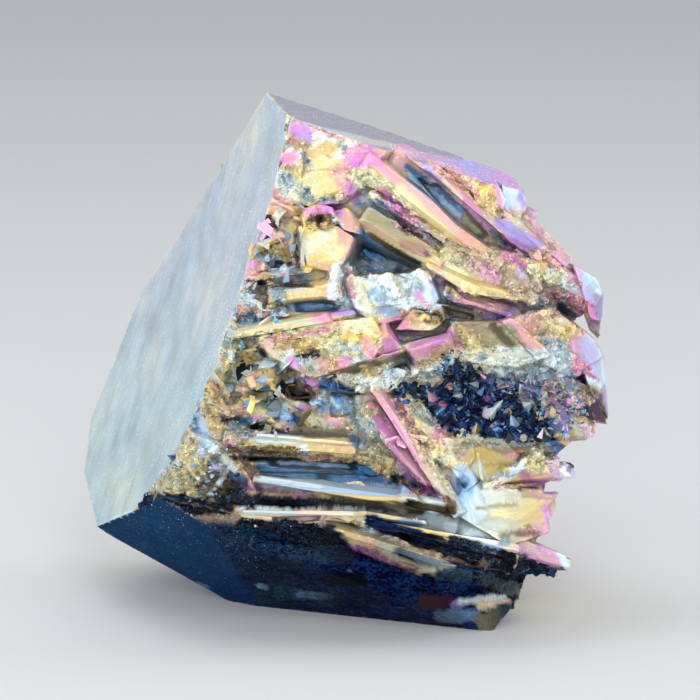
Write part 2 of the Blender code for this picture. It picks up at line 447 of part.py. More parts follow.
def lump(crest, length, width, turn, rng):
    """A rough mound: the hull of points scattered on a flattened ball."""
    points = []
    for _ in range(LUMP_POINTS):
        across = rng.uniform(0, 2 * math.pi)
        up = rng.uniform(LUMP_LOWEST, 1.0)
        ring = math.sqrt(1 - up * up)
        reach = Vector((length * math.cos(across), width * math.sin(across), 0)) * ring
        points.append(reach + Vector((0, 0, LUMP_RISE * up)))
    for corner in range(LUMP_FOOT_POINTS):
        across = 2 * math.pi * corner / LUMP_FOOT_POINTS
        points.append(Vector((length * math.cos(across), width * math.sin(across), -LUMP_DEPTH)))
    bm = hull(points)
    place = Matrix.Translation(Vector(crest) - Vector((0, 0, LUMP_RISE)))
    bmesh.ops.transform(bm, matrix=place @ Matrix.Rotation(math.radians(turn), 4, "Z"), verts=bm.verts)
    return bm


def shard(place, length, rng):
    """A splinter that lies in the face at any angle and ends in a chisel edge."""
    heading = rng.gauss(*SHARD_HEADING)
    slope = rng.uniform(*SHARD_SLOPE)
    reach = Vector((math.cos(heading), math.sin(heading), slope)) * length / 2
    width = rng.uniform(*SHARD_WIDTH)
    roll = rng.uniform(-SHARD_ROLL, SHARD_ROLL)
    root_share = rng.uniform(*SHARD_ROOT_SHARE)
    return blade(place - reach, place + reach, width, SHARD_THICKNESS, roll, root_share, SHARD_END_SHARE)


def hollow(floor, share, outline):
    """A cutter that narrows from its mouth, above the face, to its floor."""
    centre = Vector((0, 0))
    for corner in outline:
        centre += Vector(corner) / len(outline)
    points = []
    for corner in outline:
        inner = centre + (Vector(corner) - centre) * share
        outer = centre + (Vector(corner) - centre) * (1 + (1 - share) * HOLLOW_MOUTH / (HOLLOW_MOUTH - floor))
        points.append(Vector((inner.x, inner.y, floor)))
        points.append(Vector((outer.x, outer.y, HOLLOW_MOUTH)))
    return hull(points)


def pocket_matrix(shrink=0.0):
    """Turns a unit ball into the pocket's hollow, or into one smaller by shrink all round."""
    radii = [radius - shrink for radius in POCKET_RADII]
    turn = Matrix.Rotation(math.radians(POCKET_TURN), 4, "Z")
    return Matrix.Translation(POCKET_CENTRE) @ turn @ Matrix.Diagonal((*radii, 1.0))


def ball():
    bm = bmesh.new()
    bmesh.ops.create_uvsphere(bm, u_segments=POCKET_RINGS[0], v_segments=POCKET_RINGS[1], radius=1.0)
    return bm


def saw_block(point, normal):
    """A block whose lower side is a saw cut."""
    bm = bmesh.new()
    bmesh.ops.create_cube(bm, size=SAW_SIZE)
    normal = Vector(normal).normalized()
    turn = normal.to_track_quat("Z", "Y").to_matrix().to_4x4()
    place = Matrix.Translation(Vector(point) - normal * SAW_INSET)
    lift = Matrix.Translation((0, 0, SAW_SIZE / 2))
    bmesh.ops.transform(bm, matrix=place @ turn @ lift, verts=bm.verts)
    return bm


def base_block():
    """The block that the saw takes off the crystals' base: everything left of the bent cut."""
    points = []
    for front, back in CRYSTAL_BASE:
        front = Vector(front)
        back = Vector(back)
        reach = front - back
        for point in (front + reach * BASE_OVERSHOOT / reach.z, back - reach * BASE_UNDERSHOOT):
            points.append(point)
            points.append(point - Vector((SAW_SIZE / 2, 0, 0)))
    return hull(points)


def make_growths(growths):
    """Everything that grows out of the core, each as its own solid until it is joined."""
    rng = random.Random(SHARD_SEED)
    for index, (name, root, tip, radius, point_length) in enumerate(COLUMNS):
        add_object(name, column(root, tip, radius, point_length, roll=COLUMN_TURN * index), growths)
    for name, *form in BLADES:
        add_object(name, blade(*form), growths)
    for name, depth, outline in SLABS:
        add_object(name, slab(depth, outline), growths)
    for crest, length, width, turn in LUMPS:
        add_object("lump", lump(crest, length, width, turn, rng), growths)
    for corner, opposite, crest, lengths, count in SHARD_FIELDS:
        for _ in range(count):
            u = rng.uniform(corner[0], opposite[0])
            v = rng.uniform(corner[1], opposite[1])
            w = rng.uniform(*crest)
            add_object("shard", shard(Vector((u, v, w)), rng.uniform(*lengths), rng), growths)


def make_cutters(cutters):
    """The hollows, the pocket and the flat cuts, all taken out of the joined stone."""
    for name, floor, share, outline in HOLLOWS:
        add_object(name, hollow(floor, share, outline), cutters)
    pocket = ball()
    bmesh.ops.transform(pocket, matrix=pocket_matrix(), verts=pocket.verts)
    add_object("pocket", pocket, cutters)
    for name, (point, normal) in SAW_CUTS.items():
        add_object(name, saw_block(point, normal), cutters)
    add_object("crystal_base_cut", base_block(), cutters)
    floor_point = face_matrix().inverted() @ Vector((0, 0, 0))
    floor_normal = face_matrix().inverted().to_3x3() @ Vector((0, 0, -1))
    floor_cut = saw_block(floor_point / MM + floor_normal * SAW_INSET, floor_normal)
    add_object("foot_cut", floor_cut, cutters)


def make_material(name, colour, roughness, metallic):
    material = bpy.data.materials.new(name)
    material.use_nodes = True
    shader = material.node_tree.nodes["Principled BSDF"]
    shader.inputs["Base Color"].default_value = colour
    shader.inputs["Roughness"].default_value = roughness
    shader.inputs["Metallic"].default_value = metallic
    return material


def drop_crumbs(obj):
    """Applies an object's Booleans and deletes the crumbs that the cutters left loose."""
    depsgraph = bpy.context.evaluated_depsgraph_get()
    mesh = bpy.data.meshes.new_from_object(obj.evaluated_get(depsgraph))
    bm = bmesh.new()
    bm.from_mesh(mesh)
    unseen = set(bm.verts)
    bodies = []
    for first in bm.verts:
        if first not in unseen:
            continue
        unseen.remove(first)
        body = [first]
        for vert in body:
            for edge in vert.link_edges:
                other = edge.other_vert(vert)
                if other in unseen:
                    unseen.remove(other)
                    body.append(other)
        bodies.append(body)
    bodies.sort(key=len)
    for crumb in bodies[:-1]:
        bmesh.ops.delete(bm, geom=crumb, context="VERTS")
    bm.to_mesh(mesh)
    bm.free()
    obj.modifiers.clear()
    obj.data = mesh


def make_cluster(parts, growths, cutters):
    cluster = add_object("crystal_cluster", hull(CORE), parts, helper=False)
    boolean(cluster, "grow_together", "UNION", growths)
    boolean(cluster, "hollows_and_cuts", "DIFFERENCE", cutters)
    drop_crumbs(cluster)
    cluster.data.materials.append(make_material("aura_quartz", (0.62, 0.46, 0.36, 1), 0.32, 0.35))
    return cluster


def make_druse(parts, growths):
    """The crust in the pocket: a thin bowl with small crystals standing on it."""
    rng = random.Random(DRUSE_SEED)
    bowl = ball()
    gone = [vert for vert in bowl.verts if vert.co.z > CRUST_RIM + 0.01]
    bmesh.ops.delete(bowl, geom=gone, context="VERTS")
    bmesh.ops.transform(bowl, matrix=pocket_matrix(CRUST_GAP), verts=bowl.verts)
    druse = add_object("pocket_druse", bowl, parts, helper=False)
    thicken = druse.modifiers.new("crust", "SOLIDIFY")
    thicken.thickness = CRUST_THICKNESS * MM
    thicken.offset = -1.0
    inner = pocket_matrix(CRUST_GAP + CRUST_THICKNESS)
    for _ in range(DRUSE_COUNT):
        around = rng.uniform(0, 2 * math.pi)
        down = rng.uniform(-1.0, CRUST_RIM - 0.12)
        ring = math.sqrt(1 - down * down)
        ball_point = Vector((ring * math.cos(around), ring * math.sin(around), down))
        root = inner @ (ball_point * DRUSE_ROOT)
        radius = rng.uniform(*DRUSE_RADIUS)
        inward = (inner.to_3x3().inverted().transposed() @ -ball_point).normalized()
        aim = (inward + Vector((rng.uniform(*DRUSE_LEAN), rng.uniform(*DRUSE_LEAN), DRUSE_LIFT))).normalized()
        tip = root + aim * rng.uniform(*DRUSE_LENGTH)
        crystal = column(root, tip, radius, radius * DRUSE_POINT, roll=rng.uniform(0, 60))
        add_object("druse_crystal", crystal, growths)
    boolean(druse, "grow_together", "UNION", growths)
    druse.data.materials.append(make_material("pocket_crust", (0.06, 0.09, 0.2, 1), 0.2, 0.5))
    return druse


clear_scene()
stone_parts = new_collection("aura_quartz_cluster")
stone_growths = new_collection("growths")
crust_growths = new_collection("druse_growths")
stone_cutters = new_collection("cutters")
make_growths(stone_growths)
make_cutters(stone_cutters)
make_cluster(stone_parts, stone_growths, stone_cutters)
make_druse(stone_parts, crust_growths)
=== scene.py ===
# %% [markdown]
# # An aura quartz cluster
# Aura quartz is a natural cluster of quartz crystals that was heated in a vacuum while a metal
# vapour settled on it. The film is thinner than a wavelength of light, so it shows gold where it is
# thin, then pink, violet and blue as it gets thicker. The lesson takes the plain solid of the stone,
# cuts it fine, roughens it where the quartz is sugary, paints the thickness of the film over it, and
# scatters small loose-grown crystals where the real stone is covered with them.

# %% Load the fixed frame
import math
import random

import bmesh
import bpy
import numpy as np
from mathutils import Matrix, Vector, noise
from mathutils.bvhtree import BVHTree


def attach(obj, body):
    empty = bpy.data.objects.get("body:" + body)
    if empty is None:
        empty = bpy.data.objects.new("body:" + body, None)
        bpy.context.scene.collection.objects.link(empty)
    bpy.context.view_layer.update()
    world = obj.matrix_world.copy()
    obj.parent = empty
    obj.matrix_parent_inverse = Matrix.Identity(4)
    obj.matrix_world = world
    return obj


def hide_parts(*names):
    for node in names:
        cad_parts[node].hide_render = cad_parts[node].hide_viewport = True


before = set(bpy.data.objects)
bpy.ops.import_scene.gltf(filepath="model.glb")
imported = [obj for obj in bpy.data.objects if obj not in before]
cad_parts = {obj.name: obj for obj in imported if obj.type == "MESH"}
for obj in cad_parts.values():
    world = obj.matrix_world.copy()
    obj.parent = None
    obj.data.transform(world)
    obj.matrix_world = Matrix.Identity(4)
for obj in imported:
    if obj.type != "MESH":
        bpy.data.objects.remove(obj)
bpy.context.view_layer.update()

# %% [markdown]
# ## The face frame
# The broad face where the blades lie leans back by 12 degrees. Everything on it is easier to place
# in its own axes: u to the right, v up the face and w out of it, in millimetres. A chart laid on the
# face, with 13 units to a millimetre and its corner at the upper left, places the painted strokes.

# %% Axes and units of the crystal face
MM = 0.001
FACE_LEAN = 12.0
CENTRE_U = -0.68
CENTRE_DEPTH = 14.99
FOOT_DROP = 1.75
CHART_UNIT = 13.0
CHART_SIZE = 700.0
CHART_MIDDLE = 350.0
FOOT_BELOW_MIDDLE = 280.0
CHART_MIDDLE_V = FOOT_BELOW_MIDDLE / CHART_UNIT

upright = math.radians(90.0 - FACE_LEAN)
face_origin = Vector((-CENTRE_U, -CENTRE_DEPTH, FOOT_DROP)) * MM
face_matrix = Matrix.Translation(face_origin) @ Matrix.Rotation(upright, 4, "X")
face_turn = np.array(face_matrix.to_3x3())
face_place = np.array(face_matrix.translation)


def to_face(points):
    """World positions in metres as (u, v, w) in millimetres."""
    return (points - face_place) @ face_turn / MM


def to_world(points):
    """(u, v, w) in millimetres as world positions in metres."""
    return points * MM @ face_turn.T + face_place


print("the middle of the chart is", round(CHART_MIDDLE_V, 2), "mm up the face")

# %% [markdown]
# ## The camera
# The view is level with the lean of the face, so it looks straight at it. A long lens keeps the
# stone's edges nearly parallel, as in a close-up of something small.

# %% Camera square to the crystal face
CAMERA_LENS = 200.0
CAMERA_SENSOR = 36.0
CAMERA_DISTANCE = CHART_SIZE / CHART_UNIT * CAMERA_LENS / CAMERA_SENSOR

camera_data = bpy.data.cameras.new("stone_camera")
camera_data.lens = CAMERA_LENS
camera_data.sensor_width = CAMERA_SENSOR
camera_data.clip_start = 0.01
camera = bpy.data.objects.new("stone_camera", camera_data)
bpy.context.scene.collection.objects.link(camera)
outward = (face_matrix.to_3x3() @ Vector((0, 0, 1))).normalized()
camera.location = face_matrix @ (Vector((0, CHART_MIDDLE_V, 0)) * MM) + outward * CAMERA_DISTANCE * MM
camera.rotation_euler = (-outward).to_track_quat("-Z", "Y").to_euler()
bpy.context.scene.camera = camera


def to_chart(points):
    """Where (u, v, w) points stand on the chart, seen from in front of the face."""
    nearer = (CAMERA_DISTANCE - points[:, 2]) / CAMERA_DISTANCE
    x = CHART_MIDDLE + CHART_UNIT * points[:, 0] / nearer
    y = CHART_MIDDLE - CHART_UNIT * (points[:, 1] - CHART_MIDDLE_V) / nearer
    return x, y


print("camera", round(CAMERA_DISTANCE, 1), "mm from the face")

# %% [markdown]
# ## The colours of the film
# One number stands for the thickness of the film. Its colours come in a fixed order, as in a soap
# bubble: bare silver, straw, gold, tan, salmon, pink, magenta, violet, sky, steel, navy and ink.
# Ink, nearly black, is mostly used as painted shade in gaps, clefts and under the stone.
# Strokes name a tone, each tone has its place in that order, and film_colour blends neighbours.
# A coat is eight values: a colour, how rough it is, how the colour turns where the film is a little
# thicker, and how much it mirrors like metal. The colour is scaled by the square of a light value,
# which paints shade where it is low and painted light where it is above 1.

# %% The order of the film's colours
FILM_COLOURS = {
    "silver": (0.74, 0.82, 0.85),
    "straw": (0.93, 0.88, 0.65),
    "gold": (0.94, 0.82, 0.50),
    "tan": (0.88, 0.75, 0.56),
    "salmon": (0.93, 0.70, 0.62),
    "pink": (0.94, 0.62, 0.74),
    "magenta": (0.88, 0.51, 0.82),
    "violet": (0.72, 0.60, 0.93),
    "sky": (0.45, 0.69, 0.92),
    "steel": (0.20, 0.39, 0.57),
    "navy": (0.05, 0.13, 0.31),
    "ink": (0.03, 0.04, 0.07),
}
MILK_COLOUR = (0.82, 0.88, 0.90)
TONE = {name: index / (len(FILM_COLOURS) - 1) for index, name in enumerate(FILM_COLOURS)}
TURN = 0.1
METAL_RISE = 5.0
MOST_METAL = 0.6
COLOUR, ROUGH, TURNING, METAL = slice(0, 3), 3, slice(4, 7), 7


def linear(colour):
    """A display colour as the linear colour a shader takes."""
    return tuple((c / 12.92 if c <= 0.04045 else ((c + 0.055) / 1.055) ** 2.4) for c in colour)


FILM_ROWS = np.array([linear(colour) for colour in FILM_COLOURS.values()])
MILK_ROW = np.array(linear(MILK_COLOUR))


def film_colour(tone):
    """Linear colour of the film at each tone."""
    return np.stack([np.interp(tone, list(TONE.values()), FILM_ROWS[:, part]) for part in range(3)], -1)


def coat_of_film(tone, light, milk, rough):
    """The eight values of a coat, for one place or for many."""
    parts = (np.atleast_1d(part).astype(float) for part in (tone, light, milk, rough))
    tone, light, milk, rough = np.broadcast_arrays(*parts)
    # The square of the light scales the colour: painted shade below 1, painted light above 1.
    bright, clear = (light ** 2)[:, None], (1 - milk)[:, None]
    colour = (film_colour(tone) * clear + MILK_ROW * (1 - clear)) * bright
    turn = (film_colour(tone + TURN) - film_colour(tone - TURN)) * clear * bright
    metal = np.clip((tone - TONE["sky"]) * METAL_RISE, 0, MOST_METAL) * (1 - milk)
    return np.concatenate([colour, rough[:, None], turn, metal[:, None]], 1)


print("tones", {name: round(value, 2) for name, value in TONE.items()})

# %% [markdown]
# ## A fine skin over the solid
# The plain solid has a few thousand flat facets. To groove and roughen them they need many more
# points. A remesh would round every edge, so each long edge is cut in half instead, again and again,
# and each triangle is split to match. Flat facets stay flat and sharp edges stay sharp. What shows
# from in front is cut finest, and the back and the depths of the clefts stay coarse.

# %% Cut long edges until the skin is fine
FINE_EDGE = 0.46
MIDDLE_EDGE = 0.85
COARSE_EDGE = 1.5
MOST_CUTS = 16
FLAT_ENOUGH = 0.6
SAME_POINT = 1e-7
TURNED_AWAY = -0.3
FACING_FRONT = 0.12
RAY_START = 0.02
FRONT_LOOK = (0.0, 0.0, 1.0)
SIDE_LOOKS = ((0.55, 0.0, 0.83), (-0.55, 0.0, 0.83), (0.0, 0.55, 0.83))


def solid_mesh(node):
    """Points and triangles of a frame node, with its split corners joined."""
    bm = bmesh.new()
    bm.from_mesh(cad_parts[node].data)
    bmesh.ops.remove_doubles(bm, verts=bm.verts, dist=SAME_POINT)
    bmesh.ops.dissolve_limit(bm, angle_limit=math.radians(FLAT_ENOUGH), verts=bm.verts, edges=bm.edges)
    bmesh.ops.triangulate(bm, faces=bm.faces, quad_method="BEAUTY", ngon_method="BEAUTY")
    open_edges = sum(1 for edge in bm.edges if len(edge.link_faces) != 2)
    print(node, len(bm.faces), "faces,", open_edges, "open edges")
    points = np.array([vert.co for vert in bm.verts])
    triangles = np.array([[vert.index for vert in face.verts] for face in bm.faces])
    bm.free()
    return to_face(points), triangles


def triangle_normals(points, triangles):
    """Unit normal of each triangle, and its area."""
    a, b, c = (points[triangles[:, corner]] for corner in range(3))
    normals = np.cross(b - a, c - a)
    size = np.linalg.norm(normals, axis=1)
    return normals / np.maximum(size, 1e-12)[:, None], size / 2


def open_to(tree, place, look):
    """True where a ray from this place leaves the stone."""
    start = Vector(place) + Vector(look) * RAY_START
    return tree.ray_cast(start, look)[0] is None


def allowed_lengths(tree, middles, facing):
    """How long each edge may stay: short where it shows from in front, long at the back."""
    allowed = np.full(len(middles), COARSE_EDGE)
    for index in np.flatnonzero(facing > TURNED_AWAY):
        place = middles[index]
        if facing[index] > FACING_FRONT and open_to(tree, place, FRONT_LOOK):
            allowed[index] = FINE_EDGE
        elif any(open_to(tree, place, look) for look in SIDE_LOOKS):
            allowed[index] = MIDDLE_EDGE
    return allowed


def refine(points, triangles, tree):
    """Halves every edge that is too long, and splits the triangles beside it."""
    for _ in range(MOST_CUTS):
        normals, _ = triangle_normals(points, triangles)
        edges = np.sort(np.stack([triangles, np.roll(triangles, -1, 1)], 2).reshape(-1, 2), 1)
        edges, which = np.unique(edges, axis=0, return_inverse=True)
        which = which.reshape(-1, 3)
        facing = np.full(len(edges), -1.0)
        np.maximum.at(facing, which.ravel(), np.repeat(normals[:, 2], 3))
        middles = (points[edges[:, 0]] + points[edges[:, 1]]) / 2
        lengths = np.linalg.norm(points[edges[:, 0]] - points[edges[:, 1]], axis=1)
        longest = np.zeros(len(edges), bool)
        longest[which[np.arange(len(which)), lengths[which].argmax(1)]] = True
        cut = longest & (lengths > FINE_EDGE)
        cut[cut] = lengths[cut] > allowed_lengths(tree, middles[cut], facing[cut])
        if not cut.any():
            break
        made = np.full(len(edges), -1)
        made[cut] = len(points) + np.arange(cut.sum())
        points = np.vstack([points, middles[cut]])
        triangles = split(triangles, made[which])
    return points, triangles


def split(triangles, made):
    """Splits each triangle at the new points on its edges, keeping it the same way round."""
    count = (made >= 0).sum(1)
    kept = [triangles[count == 0]]
    for corner in range(3):
        a, b, c = (triangles[:, (corner + step) % 3] for step in range(3))
        ab, bc, ca = (made[:, (corner + step) % 3] for step in range(3))
        one = (count == 1) & (ab >= 0)
        two = (count == 2) & (ab >= 0) & (bc >= 0)
        for rows, trio in (
            (one, (a, ab, c)), (one, (ab, b, c)),
            (two, (ab, b, bc)), (two, (a, ab, bc)), (two, (a, bc, c)),
        ):
            kept.append(np.stack([part[rows] for part in trio], 1))
    every = count == 3
    a, b, c = triangles[every].T
    ab, bc, ca = made[every].T
    for trio in ((a, ab, ca), (ab, b, bc), (ca, bc, c), (ab, bc, ca)):
        kept.append(np.stack(trio, 1))
    return np.vstack(kept)


solid_points, solid_triangles = solid_mesh("crystal_cluster")
solid_tree = BVHTree.FromPolygons(solid_points.tolist(), solid_triangles.tolist())
skin_points, skin_triangles = refine(solid_points, solid_triangles, solid_tree)
print("skin", len(skin_points), "points and", len(skin_triangles), "triangles")
# %% [markdown]
# ## Strokes of film, from the top of the face to the foot
# Where the vapour reached well the film is even and the quartz shows one clean tone; in a hollow it
# thickens to blue, and along an edge it turns pink. Every crystal of the face gets its own stroke,
# or a few: a body, an edge, a glint. A stroke says where it starts and ends on the chart, its half
# width, its tone or its first and last tone, how light it is, how milky it is, and how sugary the
# quartz is. How light a stroke is also paints light and shade: dim, dark strokes paint the shade in
# gaps, clefts, hollows and under crystals, pale bright ones paint highlights and glints, and strokes
# above full light lift places that lie in shade. Later strokes lie over earlier ones, as in a painting.

# %% The strokes that lie under all the others
GROUND_STROKES = {
    "face_ground": (330, 230, 420, 420, 230, "gold tan", 0.88, 0.1, 0.7),
    # The under strokes paint the underside navy and ink: partly the blue of a thick film, partly painted
    # shade.
    "under_left": (120, 575, 330, 575, 55, "steel navy", 0.6, 0, 0.4),
    "under_right": (330, 590, 560, 612, 40, "navy", 0.85, 0, 0.4),
    "under_right_end": (500, 580, 570, 590, 20, "ink navy", 0.8, 0.02, 0.7),
}
print(len(GROUND_STROKES), "ground strokes")

# %% The strokes of the upper cap and the great blade
CAP_STROKES = {
    "ground": (300, 140, 380, 185, 42, "straw", 0.95, 0.15, 0.9),
    "gold": (305, 182, 345, 168, 20, "straw gold", 1, 0.05, 0.4),
    "pale": (318, 135, 362, 146, 18, "straw", 1.1, 0.45, 0.8),
    "pale_eye": (340, 148, 352, 150, 8, "straw silver", 1.05, 0.7, 0.8),
    "eye_shadow": (345, 149, 350, 149, 3, "steel", 0.9, 0.4, 1),
    "pink_rim": (296, 121, 350, 134, 5, "salmon pink", 1, 0.15, 0.8),
    "violet_tip": (293, 128, 306, 134, 8, "magenta violet", 0.97, 0.1, 0.2),
    "violet_foot": (288, 140, 306, 143, 3, "salmon tan", 0.75, 0.1, 0.8),
    "white_edge": (284, 146, 304, 156, 3, "silver straw", 1, 0.8, 0.9),
    "tan_spot": (310, 152, 332, 148, 6, "tan gold", 0.95, 0.05, 0.5),
    "green_cleft": (302, 152, 310, 168, 2.5, "steel", 0.8, 0.35, 0.6),
    "magenta": (352, 158, 386, 142, 12, "pink magenta", 1, 0.12, 0.5),
    "magenta_heart": (372, 152, 380, 146, 6, "magenta", 1, 0.1, 0.3),
    "pink_facet": (283, 158, 293, 158, 6, "pink", 1, 0.1, 0.1),
    "left_gold": (288, 172, 300, 170, 6, "gold straw", 0.9, 0.2, 0.7),
    "white_specks": (272, 172, 280, 186, 6, "silver straw", 1.05, 0.8, 1),
    "grey_specks": (284, 180, 300, 196, 8, "silver straw", 0.9, 0.6, 1),
    "low_grey": (305, 190, 312, 200, 4, "sky silver", 0.85, 0.5, 1),
    "low_salmon": (338, 172, 350, 192, 8, "salmon pink", 1, 0.1, 0.6),
    "low_straw": (358, 178, 382, 198, 10, "straw", 1, 0.35, 0.9),
    "low_violet": (350, 186, 360, 204, 5, "magenta violet", 0.9, 0.1, 0.5),
    "low_pink": (380, 190, 394, 202, 5, "pink salmon", 0.95, 0.1, 0.7),
    "cleft_blue": (326, 203, 348, 206, 4, "steel", 1, 0.3, 0.7),
    # Painted shade: a dark line down the cleft.
    "cleft_ink": (334, 197, 342, 200, 2, "ink steel", 0.8, 0.1, 0.9),
    "cleft_white": (333, 206, 342, 214, 4, "silver", 1, 0.8, 0.3),
    "steel_gap": (352, 206, 364, 206, 3, "steel navy", 1, 0.1, 0.5),
    "white_gap": (366, 200, 370, 208, 4, "silver", 0.95, 0.7, 0.3),
    "blade_body": (388, 160, 482, 252, 16, "gold tan", 1, 0.08, 0),
    "blade_upper_straw": (400, 162, 462, 216, 3.5, "straw gold", 1, 0.15, 0),
    "blade_streak": (372, 160, 478, 244, 5, "pink salmon", 1.02, 0.15, 0),
    "blade_lower_straw": (400, 188, 460, 246, 5, "straw gold", 1, 0.15, 0),
    "blade_lower_edge": (386, 192, 446, 246, 2.4, "pink salmon", 0.95, 0.15, 0.1),
    "blade_root": (354, 161, 380, 158, 6, "magenta pink", 1, 0.05, 0.1),
    "blade_end": (466, 238, 486, 254, 9, "salmon tan", 0.95, 0, 0.2),
    "blade_violet_foot": (388, 198, 412, 220, 4, "magenta pink", 0.85, 0.1, 0.7),
    "ridge_ground": (388, 144, 486, 224, 8, "salmon pink", 1, 0.1, 0.3),
    "ridge_root": (384, 150, 404, 166, 7, "salmon pink", 0.98, 0.2, 0.3),
    "groove_depth": (410, 168, 460, 206, 7, "steel", 0.85, 0, 0.3),
    "groove_wall": (410, 178, 470, 224, 4, "steel", 1.1, 0.35, 0.1),
    "groove_teeth": (426, 180, 464, 208, 2.5, "silver sky", 0.85, 0.3, 0.6),
    # Painted shade: dim straw where the groove beside the ridge lies in shade.
    "groove_shade": (470, 220, 508, 256, 8, "straw", 0.65, 0.1, 0.1),
    "groove_shade_dark": (480, 222, 506, 244, 3, "straw steel", 0.55, 0.05, 0.1),
    "ridge_orange": (400, 154, 440, 180, 4, "salmon", 1, 0.15, 0.3),
    "ridge_magenta": (446, 182, 488, 226, 5, "pink magenta", 1, 0.15, 0),
    "ridge_straw_edge": (428, 166, 462, 198, 2, "straw", 1, 0.3, 0.1),
    "ridge_violet": (410, 150, 434, 164, 6, "violet", 1, 0.35, 0.1),
    "ridge_lilac_line": (424, 166, 440, 180, 3, "violet magenta", 0.95, 0.3, 0.1),
    "ridge_grey_groove": (444, 164, 464, 178, 4, "steel", 0.9, 0.3, 0.3),
    "ridge_end_peach": (486, 216, 498, 226, 4, "salmon straw", 0.95, 0.3, 0.5),
    "crown_ground": (450, 162, 500, 200, 14, "salmon", 1, 0.15, 0.9),
    "crown_orange": (446, 160, 456, 166, 5, "gold salmon", 1, 0.1, 0.4),
    "crown_magenta": (460, 166, 470, 178, 5, "magenta pink", 1.05, 0.25, 0.2),
    "crown_white": (464, 162, 466, 168, 3, "silver sky", 1.2, 0.8, 0),
    "crown_yellow": (468, 174, 484, 188, 6, "straw gold", 1, 0.15, 0.8),
    "crown_ochre": (484, 190, 494, 208, 8, "gold tan", 1.05, 0.05, 0.9),
    "crown_pink": (500, 182, 500, 204, 4, "pink", 1.05, 0.1, 0.1),
    "crown_lavender": (482, 164, 504, 178, 8, "violet", 0.95, 0.45, 0.5),
    "crown_rim": (500, 168, 524, 190, 6, "pink violet", 0.9, 0.4, 0.4),
    # Painted highlight: a pale glint on a facet, with its bluish rim and its shaded lower edge.
    "window_glint_rim": (506, 184, 512, 214, 6, "sky", 1.1, 0.6, 0),
    "window_glint": (512, 190, 516, 212, 6, "silver violet", 1.12, 0.7, 0),
    "window_shadow": (502, 214, 512, 218, 3, "steel violet", 0.5, 0, 0.4),
    "flank_lilac": (524, 196, 534, 214, 7, "violet pink", 0.9, 0.35, 0.3),
}
print(len(CAP_STROKES), "strokes on the cap")

